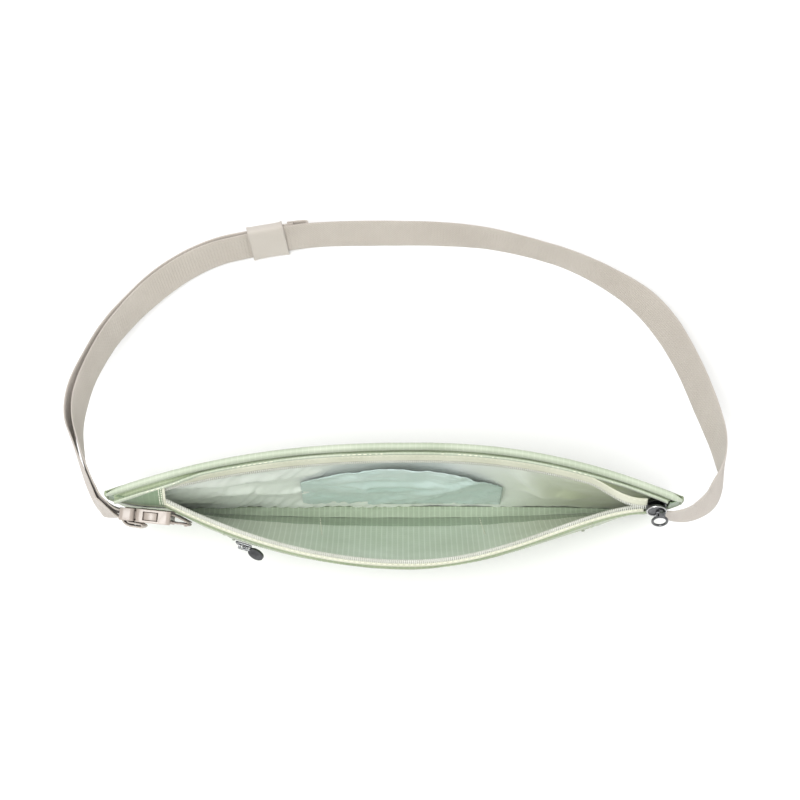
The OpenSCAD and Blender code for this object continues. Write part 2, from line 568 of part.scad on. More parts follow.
back_panel();
bottom_panel();
top_hem();
top_facing();
front_lower();
front_upper();
front_left();
front_right();
end_panel_left();
end_panel_right();
side_seam_left();
side_seam_right();
lining_back();
lining_front();
divider_pocket();
pocket_bag();
lining_stitches();
main_tape_upper();
main_tape_lower();
main_coil_upper();
main_coil_lower();
zip_end_stitch();
main_slider();
main_puller();
pocket_tape_upper();
pocket_tape_lower();
pocket_coil();
pocket_bartacks();
pocket_slider();
pocket_puller();
strap_back();
tail_back();
tail_end();
keeper();
strap_stitch();
strap_front();
buckle_female();
buckle_male();
arm_upper();
arm_lower();
buckle_tab();
tab_stitch();
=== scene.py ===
"""Money belt: a flat zipped pouch on a webbing waist strap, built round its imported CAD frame.

Shapes are worked out in millimetres on the frame's own axes, and put into their meshes in metres.
"""

import bmesh
import bpy
import numpy as np
from mathutils import Matrix, Vector


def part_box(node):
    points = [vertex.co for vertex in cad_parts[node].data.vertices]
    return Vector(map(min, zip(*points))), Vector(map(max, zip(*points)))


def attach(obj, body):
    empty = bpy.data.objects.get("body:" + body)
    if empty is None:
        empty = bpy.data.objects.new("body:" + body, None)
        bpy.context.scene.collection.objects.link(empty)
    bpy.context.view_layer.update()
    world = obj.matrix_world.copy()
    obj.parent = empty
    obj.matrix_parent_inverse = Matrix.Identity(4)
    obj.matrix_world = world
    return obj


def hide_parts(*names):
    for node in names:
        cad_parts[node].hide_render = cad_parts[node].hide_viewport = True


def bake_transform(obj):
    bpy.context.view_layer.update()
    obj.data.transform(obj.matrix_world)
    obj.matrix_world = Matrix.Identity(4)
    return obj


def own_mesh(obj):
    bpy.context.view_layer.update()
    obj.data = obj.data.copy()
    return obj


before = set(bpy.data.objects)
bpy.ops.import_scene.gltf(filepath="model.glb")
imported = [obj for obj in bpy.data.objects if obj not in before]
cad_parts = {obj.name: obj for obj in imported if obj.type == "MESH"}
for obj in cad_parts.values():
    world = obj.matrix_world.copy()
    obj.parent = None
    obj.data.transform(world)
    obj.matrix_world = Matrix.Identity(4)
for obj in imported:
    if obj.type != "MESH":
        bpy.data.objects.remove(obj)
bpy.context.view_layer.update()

# ---- The set: camera, floor and light ------------------------------------------------------------
# A plain white table under a wide soft light, seen from high above the pouch's open mouth.
pi = np.pi
tau = 2 * np.pi
aim = Vector((0.003, 0.04845, 0.060))
camera_reach = 1.300
camera_rise = np.radians(78)
camera_data = bpy.data.cameras.new("camera")
camera_data.lens = 109.59
camera_data.sensor_width = 36
camera_data.clip_start = 0.05
camera = bpy.data.objects.new("camera", camera_data)
camera.location = aim + camera_reach * Vector((0, -np.cos(camera_rise), np.sin(camera_rise)))
camera.rotation_euler = (pi / 2 - camera_rise, 0, 0)
bpy.context.collection.objects.link(camera)
bpy.context.scene.camera = camera
bpy.context.scene.view_settings.view_transform = "Standard"

world = bpy.data.worlds.new("studio")
world.use_nodes = True
world.node_tree.nodes["Background"].inputs["Color"].default_value = (1, 1, 1, 1)
world.node_tree.nodes["Background"].inputs["Strength"].default_value = 0.80
bpy.context.scene.world = world


def soft_light(name, place, facing, size, power):
    """A square lamp of that size in metres, turned to face a point."""
    data = bpy.data.lights.new(name, "AREA")
    data.size = size
    data.energy = power
    lamp = bpy.data.objects.new(name, data)
    lamp.location = place
    lamp.rotation_euler = (Vector(facing) - Vector(place)).to_track_quat("-Z", "Y").to_euler()
    bpy.context.collection.objects.link(lamp)


soft_light("top_light", (-0.25, -0.35, 1.75), (0, 0.05, 0.05), 0.75, 24)
soft_light("side_light", (1.5, 0.9, 1.2), (0, 0.05, 0.05), 1.0, 5)


def add_node(tree, kind, inputs=(), **settings):
    """One shader node; inputs are (socket, value or output) pairs, and an output is linked."""
    node = tree.nodes.new(kind)
    for key, value in settings.items():
        setattr(node, key, value)
    for socket, value in inputs:
        if isinstance(value, bpy.types.NodeSocket):
            tree.links.new(value, node.inputs[socket])
        else:
            node.inputs[socket].default_value = value
    return node


def linear(red, green, blue):
    """A screen colour from 0 to 255 as the linear colour that a shader takes."""
    c = np.array([red, green, blue]) / 255
    c = np.where(c <= 0.04045, c / 12.92, ((c + 0.055) / 1.055) ** 2.4)
    return (*[float(v) for v in c], 1.0)


def new_material(name, **shader_values):
    """A node material; the values go straight on the Principled shader's own sockets."""
    material = bpy.data.materials.new(name)
    material.use_nodes = True
    shader = material.node_tree.nodes["Principled BSDF"]
    for socket, value in shader_values.items():
        shader.inputs[socket.replace("_", " ")].default_value = value
    return material, material.node_tree, shader


floor_mesh = bpy.data.meshes.new("floor")
floor_mesh.from_pydata([(-4, -4, -3e-4), (4, -4, -3e-4), (4, 4, -3e-4), (-4, 4, -3e-4)], [], [(0, 1, 2, 3)])
floor = bpy.data.objects.new("floor", floor_mesh)
bpy.context.collection.objects.link(floor)
floor_mesh.materials.append(new_material("white_table", Base_Color=(0.93, 0.93, 0.93, 1), Roughness=0.9)[0])

# ---- Strap behind the waist ----------------------------------------------------------------------
# One length of 20 mm ribbed polyester webbing, sewn to the pouch's right end. It droops round the
# back to the ground, passes through the keeper, runs to the buckle, and its tail comes back doubled.
web_half = 10.0
web_thick = 1.15
rib_pitch = 1.75
strap_route = np.array([
    [128, -18.8, 97, 0, 0], [137, -19.1, 97, 0, 0], [143, -19.6, 96.6, -3, 0],
    [152.5, -17.6, 93.4, -15, 0], [161, -12.4, 89.8, -22, 0], [167, -5, 85.6, -24, 0],
    [171, 3.2, 81, -13, 0], [172, 12, 76.4, 7, 0], [171, 26, 68.4, 22, 0],
    [167, 45, 56.6, 31, 0], [160, 72, 39.6, 35, 0], [150.5, 95, 27, 37, 0],
    [138, 113, 18.4, 35, 0], [121, 127, 12.8, 25, 0], [100, 138.5, 10.2, 18, 0],
    [78, 146, 9.9, 17, 0], [52, 152, 9.8, 21, 0], [25, 154.6, 9.5, 26, 0],
    [0, 155.2, 9.6, 28, 0], [-22, 154.8, 10.4, 28, 0], [-40, 153.8, 12, 28, 1.9],
    [-56, 151.9, 13, 28, 1.9], [-71, 149, 13.2, 28, 1.9], [-86, 146.1, 13.2, 28, 1.9],
    [-101, 142, 13.2, 29, 2.1], [-116, 134.4, 14.4, 31, 2.1], [-131, 122.4, 18.6, 33, 2.1],
    [-145, 106, 26.6, 28, 2.2], [-156, 88, 37, 22, 2.6], [-163.5, 68, 49.4, 18, 3.4],
    [-167.3, 49, 61.4, 17, 4.2], [-167.4, 33, 71, 9, 3.9], [-164, 18, 79.4, -1, 2.6],
    [-159.4, 4.6, 86.2, -7, 2.0], [-154.2, -6.6, 91.4, -10, 1.9], [-148.2, -14.4, 95, -8, 2.4],
    [-140, -17.6, 97, -6, 2.8], [-132, -19.4, 98, -6, 3]])
keeper_at = 22
tail_from = 21
buckle_bar_at = 35


def unit(v):
    """Rows of v, each scaled to length 1."""
    return v / np.linalg.norm(v, axis=-1, keepdims=True)


def run_of(points):
    """Distance walked along a row of points, from 0 at the first."""
    return np.concatenate([[0], np.cumsum(np.linalg.norm(np.diff(points, axis=0), axis=1))])


def evenly(rows, step):
    """Rows of numbers whose first three are a point, read off again at even steps along their run."""
    run = run_of(rows[:, :3])
    places = np.linspace(0, run[-1], int(run[-1] / step) + 2)
    return np.stack([np.interp(places, run, column) for column in rows.T], 1)


def through(route, first, last, count):
    """Catmull-Rom curve: the cubic between two points whose slope at each is half its neighbours' step."""
    at = np.linspace(first, last, count)
    k = np.minimum(at.astype(int), int(np.ceil(last)) - 1)
    t = (at - k)[:, None]
    a, b, c, d = route[k - 1], route[k], route[k + 1], route[k + 2]
    return 0.5 * (2 * b + (c - a) * t + (2 * a - 5 * b + 4 * c - d) * t**2
                  + (3 * b - a - 3 * c + d) * t**3)


def webbing_stations(rows, doubled):
    """Centre, width direction and outward normal along the strap. The width direction is upright,
    turned outwards by the lean in column 4; a doubled layer stands off outwards by column 5."""
    along = unit(np.gradient(rows[:, :3], axis=0))
    out = unit(np.cross(along, [0, 0, 1]))
    lean = np.radians(rows[:, 3:4])
    across = np.cos(lean) * unit(np.cross(out, along)) + np.sin(lean) * out
    normal = unit(np.cross(along, across))
    return rows[:, :3] + normal * rows[:, 4:5] * doubled, across, normal


def make_piece(name, points, wrap=False, caps=False, material=None, ring=False):
    """Mesh of the quads between a grid of points in mm. wrap joins the last column to the first, ring
    the last row to the first, and caps closes both ends. Its UV map is the mean distance along each
    way of the grid, in metres."""
    rows, columns = points.shape[:2]
    i, j = np.meshgrid(np.arange(rows if ring else rows - 1), np.arange(columns if wrap else columns - 1),
                       indexing="ij")
    i, j = i.ravel(), j.ravel()
    right, ahead = (j + 1) % columns, (i + 1) % rows
    faces = np.stack([i * columns + j, ahead * columns + j, ahead * columns + right,
                      i * columns + right], 1).tolist()
    whole = np.concatenate([points, points[:, :1]], 1) if wrap else points
    whole = np.concatenate([whole, whole[:1]], 0) if ring else whole
    steps_i = np.linalg.norm(np.diff(whole, axis=0), axis=2).mean(1)
    steps_j = np.linalg.norm(np.diff(whole, axis=1), axis=2).mean(0)
    u = np.concatenate([[0], np.cumsum(steps_i)]) * 0.001
    v = np.concatenate([[0], np.cumsum(steps_j)]) * 0.001
    uv = np.stack([np.stack([u[i], u[i + 1], u[i + 1], u[i]], 1),
                   np.stack([v[j], v[j], v[j + 1], v[j + 1]], 1)], 2).reshape(-1, 2)
    if caps:
        faces.append(list(range(columns)))
        faces.append(list(range((rows - 1) * columns, rows * columns))[::-1])
        uv = np.concatenate([uv, np.zeros((2 * columns, 2))])
    mesh = bpy.data.meshes.new(name)
    mesh.from_pydata((points.reshape(-1, 3) * 0.001).tolist(), [], faces)
    mesh.uv_layers.new(name="cloth").data.foreach_set("uv", uv.ravel())
    mesh.polygons.foreach_set("use_smooth", [True] * len(faces))
    mesh.update()
    if material:
        mesh.materials.append(material)
    piece = bpy.data.objects.new(name, mesh)
    bpy.context.collection.objects.link(piece)
    return piece


def ripple(a, b, seed, longest, waves=7):
    """Gentle unevenness of about -1 to 1: a sum of sine waves, each 0.7 times as long and 0.75 times
    as high as the one before, in seeded directions."""
    rng = np.random.default_rng(seed)
    total = 0
    for k in range(waves):
        turn, start = rng.uniform(0, tau, 2)
        wave = np.sin(tau * (a * np.cos(turn) + b * np.sin(turn)) / (longest * 0.7**k) + start)
        total = total + 0.75**k * wave
    return total / 2.2


def webbing(name, centre, across, normal, half, thick, rib, material, seed=1):
    """A band with a rounded edge and cross ribs: its half thickness is half of thick plus a cosine of
    the run over the rib pitch, and tapers to the edges as the fourth power of the width share."""
    run = run_of(centre)[:, None]
    around = np.linspace(0, tau, 18, endpoint=False)[None, :]
    side = np.sign(np.cos(around)) * np.abs(np.cos(around)) ** 0.45
    lift = np.sign(np.sin(around)) * np.abs(np.sin(around)) ** 0.6
    ribs = 1 + rib * np.cos(tau * run / rib_pitch) * (1 - 0.8 * side**4)
    selvedge = 1 + 0.10 * np.abs(side) ** 12
    wobble = 0.14 * ripple(run, 0 * run, seed, 60)
    cup = 0.25 * ripple(run, 0 * run + 9, seed + 1, 110) * side**2
    points = (centre[:, None] + across[:, None] * (side * (half + wobble))[..., None]
              + normal[:, None] * (lift * thick / 2 * ribs * selvedge + cup)[..., None])
    return make_piece(name, points, wrap=True, caps=True, material=material)


def start_group(name, inputs, outputs):
    """A shader node group with named sockets, and its input and output nodes."""
    group = bpy.data.node_groups.new(name, "ShaderNodeTree")
    for label, kind, value in inputs:
        socket = group.interface.new_socket(label, in_out="INPUT", socket_type=kind)
        if value is not None:
            socket.default_value = value
    for label, kind in outputs:
        group.interface.new_socket(label, in_out="OUTPUT", socket_type=kind)
    return group, group.nodes.new("NodeGroupInput"), group.nodes.new("NodeGroupOutput")


def math_node(tree, operation, first, second=0.0, third=0.0):
    """The output of a Math node."""
    sockets = [(0, first), (1, second), (2, third)]
    return add_node(tree, "ShaderNodeMath", sockets, operation=operation).outputs[0]


# Webbing weave: slanting yarns between the ribs, as sine waves of the UV map, over a woven tone.
yarn_weave, g_in, g_out = start_group(
    "yarn_weave",
    [("Vector", "NodeSocketVector", None), ("Pitch", "NodeSocketFloat", 0.001),
     ("Slant", "NodeSocketFloat", 1.0)],
    [("Mask", "NodeSocketFloat"), ("Height", "NodeSocketFloat")])
uvw = add_node(yarn_weave, "ShaderNodeSeparateXYZ", [(0, g_in.outputs["Vector"])])
slanted = math_node(yarn_weave, "MULTIPLY", uvw.outputs[1], g_in.outputs["Slant"])
turns = math_node(yarn_weave, "DIVIDE", math_node(yarn_weave, "ADD", uvw.outputs[0], slanted),
                  g_in.outputs["Pitch"])
wave_a = math_node(yarn_weave, "SINE", math_node(yarn_weave, "MULTIPLY", turns, tau))
cross_turns = math_node(yarn_weave, "DIVIDE", uvw.outputs[1], g_in.outputs["Pitch"])
wave_b = math_node(yarn_weave, "SINE", math_node(yarn_weave, "MULTIPLY", cross_turns, tau))
woven = math_node(yarn_weave, "MULTIPLY_ADD", wave_a, 0.35, math_node(yarn_weave, "MULTIPLY", wave_b, 0.15))
height = math_node(yarn_weave, "ADD", woven, 0.5)
yarn_weave.links.new(height, g_out.inputs["Mask"])
yarn_weave.links.new(height, g_out.inputs["Height"])

# Handling tone: slow patches of slightly darker and lighter cloth, from noise on Object coordinates.
tone, g_in, g_out = start_group(
    "handling_tone",
    [("Vector", "NodeSocketVector", None), ("Light", "NodeSocketColor", (1, 1, 1, 1)),
     ("Dark", "NodeSocketColor", (0.5, 0.5, 0.5, 1)), ("Pattern", "NodeSocketFloat", 0.5),
     ("Pattern share", "NodeSocketFloat", 0.5), ("Patch scale", "NodeSocketFloat", 30.0)],
    [("Color", "NodeSocketColor")])
noise = add_node(tone, "ShaderNodeTexNoise",
                 [("Vector", g_in.outputs["Vector"]), ("Scale", g_in.outputs["Patch scale"]),
                  ("Detail", 4.0)])
patches = add_node(tone, "ShaderNodeMapRange",
                   [("Value", noise.outputs[0]), ("From Min", 0.3), ("From Max", 0.7)])
held = math_node(tone, "SUBTRACT", 1.0, g_in.outputs["Pattern share"])
mixed = math_node(tone, "ADD", math_node(tone, "MULTIPLY", patches.outputs[0], held),
                  math_node(tone, "MULTIPLY", g_in.outputs["Pattern"], g_in.outputs["Pattern share"]))
blended = add_node(tone, "ShaderNodeMix", [(0, mixed), (6, g_in.outputs["Dark"]), (7, g_in.outputs["Light"])],
                   data_type="RGBA")  # its colour sockets share their names with others, so they go by place
tone.links.new(blended.outputs[2], g_out.inputs["Color"])


def toned(tree, shader, light, dark, pattern, share, patch_scale, height, depth):
    """Colours the shader by the handling tone, and bumps it by a height in metres."""
    place = add_node(tree, "ShaderNodeTexCoord")
    shade = add_node(tree, "ShaderNodeGroup", node_tree=tone)
    tree.links.new(place.outputs["Object"], shade.inputs["Vector"])
    shade.inputs["Light"].default_value = light
    shade.inputs["Dark"].default_value = dark
    shade.inputs["Pattern share"].default_value = share
    shade.inputs["Patch scale"].default_value = patch_scale
    tree.links.new(pattern, shade.inputs["Pattern"])
    tree.links.new(shade.outputs["Color"], shader.inputs["Base Color"])
    bump = add_node(tree, "ShaderNodeBump", [("Height", height), ("Distance", depth), ("Strength", 1.0)])
    tree.links.new(bump.outputs[0], shader.inputs["Normal"])


def webbing_material(name, light, dark, pitch, depth):
    """Woven polyester: slanting yarns, a soft sheen and no gloss."""
    material, tree, shader = new_material(name, Roughness=0.78, Sheen_Weight=0.25, Sheen_Roughness=0.5)
    uv = add_node(tree, "ShaderNodeUVMap", uv_map="cloth")
    weave = add_node(tree, "ShaderNodeGroup", node_tree=yarn_weave)
    tree.links.new(uv.outputs[0], weave.inputs["Vector"])
    weave.inputs["Pitch"].default_value = pitch
    weave.inputs["Slant"].default_value = 0.55
    toned(tree, shader, light, dark, weave.outputs["Mask"], 0.8, 40, weave.outputs["Height"], depth)
    return material


web_cloth = webbing_material("strap_webbing", linear(208, 201, 192), linear(166, 156, 146), 0.0009, 0.00022)
waist_rows = evenly(through(strap_route, 1, keeper_at + 0.25, 900), rib_pitch / 6)
waist_strap = webbing("waist_strap", *webbing_stations(waist_rows, 0), web_half, web_thick, 0.14, web_cloth)
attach(waist_strap, "pouch")
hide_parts("strap_back")


# ---- Strap from the keeper to the buckle, and its doubled tail -----------------------------------
# The same webbing goes on past the keeper, turns round the male half's bar and comes back outside itself. It
# bends from the pouch's end to the buckle's.
buckle_turn = np.array(Matrix.Rotation(np.radians(-6), 3, "Z") @ Matrix.Rotation(np.radians(10), 3, "X"))
buckle_place = np.array([-126, -20.2, 97])
turn_path = np.array([
    [-14.4, 2.0], [-12.4, 1.95], [-11.0, 1.85], [-9.95, 1.0], [-9.75, -0.6],
    [-9.7, -2.4], [-9.3, -3.7], [-7.8, -4.25], [-4.6, -4.4], [-2.4, -4.65], [-1.5, -5.35],
    [-2.4, -6.05], [-4.8, -5.95], [-8, -5.8], [-10.7, -4.7], [-12.4, -2.75], [-14.4, -1.7]])


def at_buckle(outline):
    """Points of a row of (x, y) on the buckle's own axes, turned and put in place."""
    return np.column_stack([outline, np.zeros(len(outline))]) @ buckle_turn.T + buckle_place


def banded(rows, step):
    """Centre, width direction and normal of a band from rows of a point and a width direction, run
    through as a Catmull-Rom curve and read off evenly; the normal is the run crossed with the width."""
    padded = np.concatenate([2 * rows[:1] - rows[1:2], rows, 2 * rows[-1:] - rows[-2:-1]])
    even = evenly(through(padded, 1, len(rows), 12 * len(rows)), step)
    along = unit(np.gradient(even[:, :3], axis=0))
    across = even[:, 3:6] - along * np.sum(even[:, 3:6] * along, 1, keepdims=True)
    return even[:, :3], unit(across), unit(np.cross(along, across))


out_part = webbing_stations(evenly(through(strap_route, keeper_at - 0.25, buckle_bar_at, 500), 4), 0)
back_part = [part[::-1] for part in
             webbing_stations(evenly(through(strap_route, tail_from, buckle_bar_at, 500), 4), 1)]
turn_points = at_buckle(turn_path)
turn_width = np.repeat(buckle_turn[:, 2][None], len(turn_points), 0)
run_rows = np.concatenate([np.column_stack(out_part[:2]), np.column_stack([turn_points, turn_width]),
                           np.column_stack(back_part[:2])])
run_strap = webbing("buckle_run_strap", *banded(run_rows, rib_pitch / 6), web_half - 0.1, web_thick, 0.14,
                    web_cloth, seed=4)
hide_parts("strap_front", "tail_back")
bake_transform(run_strap)

# ---- Folded tail end -----------------------------------------------------------------------------
# The tail's last centimetres are folded back on themselves and stitched across, which makes a stop
# too thick to slip back through the keeper.
fold_rows = np.array([[-66, 0.2, 150.5], [-60, 0.4, 151.6], [-54, 1.0, 152.7], [-48, 1.7, 153.5],
                      [-44.6, 2.6, 154.2], [-43.6, 3.7, 155.2], [-44.8, 4.6, 156.2], [-49, 4.6, 156.0],
                      [-55, 4.3, 155.2]])
fold_lean = np.radians(28)
fold_width = np.array([0, np.sin(fold_lean), np.cos(fold_lean)])
fold_centres = np.column_stack([fold_rows[:, 0] - 5, fold_rows[:, 2] - 0.5, 13.0 - 0.53 * fold_rows[:, 1]])
tail_fold = webbing("tail_fold", *banded(np.column_stack([fold_centres, np.repeat(fold_width[None], 9, 0)]),
                                         rib_pitch / 6), web_half - 0.3, web_thick, 0.14, web_cloth, seed=7)
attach(tail_fold, "pouch")
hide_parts("tail_end")


# ---- Keeper --------------------------------------------------------------------------------------
# A short sleeve of thinner, smoother webbing sewn into a loop round both layers of the strap.
def strap_frame(k):
    """Point and axes (along, across, out) of the strap at a route index."""
    rows = through(strap_route, k - 0.05, k + 0.05, 3)
    centre, across, normal = webbing_stations(rows, 0)
    return centre[1], unit(rows[2, :3] - rows[0, :3]), across[1], normal[1]


keeper_centre, keeper_along, keeper_across, keeper_out = strap_frame(keeper_at)
keeper_high, keeper_deep, keeper_length, keeper_thick = 22.6, 5.2, 20.0, 0.8
along_keeper = np.linspace(-0.5, 0.5, 24)[:, None]
around_keeper = np.linspace(0, tau, 72, endpoint=False)[None, :]
keeper_flare = 1 + 0.05 * np.abs(2 * along_keeper) ** 6 + 0.012 * np.sin(5 * along_keeper + around_keeper)
keeper_side = np.sign(np.cos(around_keeper)) * np.abs(np.cos(around_keeper)) ** 0.28 * keeper_high / 2
keeper_lift = np.sign(np.sin(around_keeper)) * np.abs(np.sin(around_keeper)) ** 0.5 * keeper_deep / 2
skew = 0.05 * keeper_side
keeper_points = (keeper_centre + keeper_out * 0.95
                 + keeper_along * (along_keeper * keeper_length + skew)[..., None]
                 + keeper_across * (keeper_side * keeper_flare)[..., None]
                 + keeper_out * (keeper_lift * (2 * keeper_flare - 1))[..., None])
keeper_cloth = webbing_material("keeper_webbing", linear(206, 200, 192), linear(178, 170, 161), 0.0007, 0.0001)
keeper_sleeve = make_piece("keeper_sleeve", keeper_points, wrap=True, material=keeper_cloth)


def thicken(piece, thickness, offset=0.0):
    """Gives a sheet its thickness in mm."""
    solid = piece.modifiers.new("thickness", "SOLIDIFY")
    solid.thickness = thickness / 1000
    solid.offset = offset
    return piece


thicken(keeper_sleeve, keeper_thick)
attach(keeper_sleeve, "keeper")
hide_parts("keeper")

# ---- Pouch outline -------------------------------------------------------------------------------
# The open pouch is a flat bag whose back bows a little and whose front lip hangs well forward. These
# curves are shared by every cloth piece of it; their sizes are read from the frame where it has them.
half_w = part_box("back_panel")[1][0] * 1000
pouch_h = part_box("top_hem")[1][2] * 1000
hem_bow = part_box("top_hem")[1][1] * 1000
zip_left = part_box("main_coil_lower")[0][0] * 1000 - 0.2
zip_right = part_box("main_coil_lower")[1][0] * 1000 + 0.2
pocket_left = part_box("front_lower")[0][0] * 1000 - 0.2
pocket_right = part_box("front_lower")[1][0] * 1000 + 0.2
hem_peak, lip_peak = 13.0, 8.0
lip_reach = 46.6
floor_z = 0.85
side_gap = 0.45
wall_belly = 0.7
hem_thick, hem_high = 3.6, 8.0


def eased(start, end, x):
    """0 before start, 1 after end, and a cubic with level ends between them."""
    t = np.clip((x - start) / (end - start), 0, 1)
    return t * t * (3 - 2 * t)


def hem_y(x):
    """The hem's outer edge: bowed back at its peak, and falling away on each side by a power of the
    distance from the peak, 2.38 to the left and 2.1 to the right."""
    left = 24.8 * (np.clip(hem_peak - x, 0, None) / (half_w + hem_peak)) ** 2.38
    right = 27.8 * (np.clip(x - hem_peak, 0, None) / (half_w - hem_peak)) ** 2.1
    return hem_bow - np.where(x < hem_peak, left, right)


def lip_y(x):
    """The front lip: sine curves beyond the zip's ends, a parabola left of its peak, and right of it
    one less the squared share of the way, to the power 1.8."""
    wing_left = -12.6 - 3.4 * np.sin(pi / 2 * np.clip((x + half_w) / (zip_left + half_w), 0, 1))
    wing_right = -15.4 - 4.2 * np.sin(pi / 2 * np.clip((half_w - x) / (half_w - zip_right), 0, 1))
    left = -16 - (lip_reach - 16) * (1 - ((x - lip_peak) / (zip_left - lip_peak)) ** 2)
    share = np.clip(1 - ((x - lip_peak) / (zip_right - lip_peak)) ** 2, 0, 1)
    right = -19.6 - (lip_reach - 19.6) * share**1.8
    return np.where(x < zip_left, wing_left,
                    np.where(x > zip_right, wing_right, np.where(x < lip_peak, left, right)))


def lip_z(x):
    """Height of the lip: it hangs lower by the square of how far it reaches."""
    return 111 - 0.0045 * lip_y(x) ** 2


def depth(x):
    """Half ellipse: 1 in the middle of the pouch and 0 at its side seams."""
    return np.sqrt(np.clip(1 - (x / half_w) ** 2, 0, 1))


def back_y(x, z):
    """The back wall leans from the bottom fold's back edge to the hem."""
    return hem_y(x) * z / pouch_h + (4 * depth(x) + side_gap) * (1 - z / pouch_h)


def front_point(x, t, lift=0.0):
    """The front wall at a share t of its height, moved back by lift: straight near the zip's ends and
    bellied out as a quarter sine between them."""
    bulge = wall_belly * eased(zip_left, zip_left + 22, x) * eased(zip_right, zip_right - 22, x)
    y = (lip_y(x) - 1) * (t * (1 - bulge) + np.sin(pi / 2 * t) * bulge) + lift
    y = y - (7 * depth(x) + side_gap) * (1 - t)
    return np.stack(np.broadcast_arrays(x, y, floor_z + (lip_z(x) - floor_z) * t), -1)


def mesh_grid(x0, x1, columns, t0, t1, rows):
    """Two arrays, x down the rows of the grid and t along its columns."""
    return np.meshgrid(np.linspace(x0, x1, columns), np.linspace(t0, t1, rows), indexing="ij")


def sew(piece, finish, *nodes):
    """The piece is part of the pouch: it rides on it."""
    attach(piece, "pouch")
    if nodes:
        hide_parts(*nodes)
    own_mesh(piece)


# ---- Back wall -----------------------------------------------------------------------------------
# One piece of sage ripstop nylon: a thin plain cloth with a grid of thicker threads, lightly rumpled.
ripstop, g_in, g_out = start_group(
    "ripstop_grid",
    [("Vector", "NodeSocketVector", None), ("Pitch", "NodeSocketFloat", 0.003),
     ("Line", "NodeSocketFloat", 0.0003), ("Cross lines", "NodeSocketFloat", 0.5)],
    [("Mask", "NodeSocketFloat"), ("Height", "NodeSocketFloat")])
uvw = add_node(ripstop, "ShaderNodeSeparateXYZ", [(0, g_in.outputs["Vector"])])
line_masks = []
for axis in (0, 1):
    half_pitch = math_node(ripstop, "MULTIPLY", g_in.outputs["Pitch"], 0.5)
    away = math_node(ripstop, "PINGPONG", uvw.outputs[axis], half_pitch)
    line = add_node(ripstop, "ShaderNodeMapRange",
                    [("Value", away), ("From Min", 0.0), ("From Max", g_in.outputs["Line"]), ("To Min", 1.0),
                     ("To Max", 0.0)], interpolation_type="SMOOTHSTEP")
    line_masks.append(line.outputs[0])
cross_mask = math_node(ripstop, "MULTIPLY", line_masks[1], g_in.outputs["Cross lines"])
grid_mask = math_node(ripstop, "MAXIMUM", line_masks[0], cross_mask)
thread_u = math_node(ripstop, "SINE", math_node(ripstop, "MULTIPLY", uvw.outputs[0], tau / 0.0005))
thread_v = math_node(ripstop, "SINE", math_node(ripstop, "MULTIPLY", uvw.outputs[1], tau / 0.0005))
threads = math_node(ripstop, "MULTIPLY", thread_u, thread_v)
grid_height = math_node(ripstop, "MULTIPLY_ADD", threads, 0.12, grid_mask)
ripstop.links.new(grid_mask, g_out.inputs["Mask"])
ripstop.links.new(grid_height, g_out.inputs["Height"])


def ripstop_material(name, light, dark, roughness=0.5, pitch=0.003, line=0.0005, cross=0.6, share=0.5,
                     depth_m=0.00006, sheen=0.2):
    """Coated ripstop nylon: a thread grid, patches of tone, and a low satin gloss."""
    material, tree, shader = new_material(name, Roughness=roughness, Sheen_Weight=sheen, Sheen_Roughness=0.4)
    uv = add_node(tree, "ShaderNodeUVMap", uv_map="cloth")
    weave = add_node(tree, "ShaderNodeGroup", node_tree=ripstop)
    tree.links.new(uv.outputs[0], weave.inputs["Vector"])
    weave.inputs["Pitch"].default_value = pitch
    weave.inputs["Line"].default_value = line
    weave.inputs["Cross lines"].default_value = cross
    toned(tree, shader, light, dark, weave.outputs["Mask"], share, 35, weave.outputs["Height"], depth_m)
    return material


sage_cloth = ripstop_material("sage_ripstop", linear(154, 165, 135), linear(124, 137, 107), cross=0.35,
                              share=0.35)
x, z = mesh_grid(-half_w, half_w, 190, 0.6, pouch_h - 6.5, 84)
rumple = 0.55 * ripple(x, z, 11, 95) * np.sin(pi * (z - 0.6) / (pouch_h - 7)) ** 0.5 * depth(x) ** 0.5
back_wall = make_piece("back_wall", np.stack([x, back_y(x, z) + rumple, z], -1), material=sage_cloth)
thicken(back_wall, 0.6)
sew(back_wall, "ripstop", "back_panel")

# ---- Bottom fold ---------------------------------------------------------------------------------
# The outer cloth turns under between the front and back walls and takes the weight of the pouch.
x, w = mesh_grid(-half_w + 0.5, half_w - 0.5, 150, 0, pi, 21)
fold_y = -1.5 * depth(x) - (5.5 * depth(x) + 0.35) * np.cos(w)
fold_z = 1.3 - 1.0 * np.sin(w) ** 0.5
bottom_fold = thicken(make_piece("bottom_fold", np.stack([x, fold_y, fold_z], -1), material=sage_cloth), 0.55)
sew(bottom_fold, "ripstop", "bottom_panel")

# ---- Top hem -------------------------------------------------------------------------------------
# The back wall's upper edge is rolled into a soft hem 8 mm high, lighter than the wall as painted light on its
# upturned top.
# A lighter copy of the sage ripstop: painted light on the hem's upturned top.
hem_cloth_painted_light = ripstop_material("hem_ripstop_painted_light", linear(194, 201, 183), linear(164, 175, 152), cross=0.15,
                             share=0.3)
x, w = mesh_grid(-half_w, half_w, 420, 0, tau, 29)
x, w = x[:, :-1], w[:, :-1]
taper = np.clip((half_w - np.abs(x)) / np.where(x > 0, 5.0, 9.0), 0.02, 1) ** 0.5
pucker = 1 + 0.035 * ripple(x, 0 * x, 21, 26) * (1 + np.sin(w)) / 2
roll_y = np.sign(np.cos(w)) * np.abs(np.cos(w)) ** 0.75 * hem_thick / 2 * pucker
roll_z = np.sign(np.sin(w)) * np.abs(np.sin(w)) ** 0.7 * hem_high / 2 * pucker
stitch_pull = 0.35 * np.exp(-(((roll_z + 2.2) / 0.7) ** 2)) * np.sign(np.cos(w))
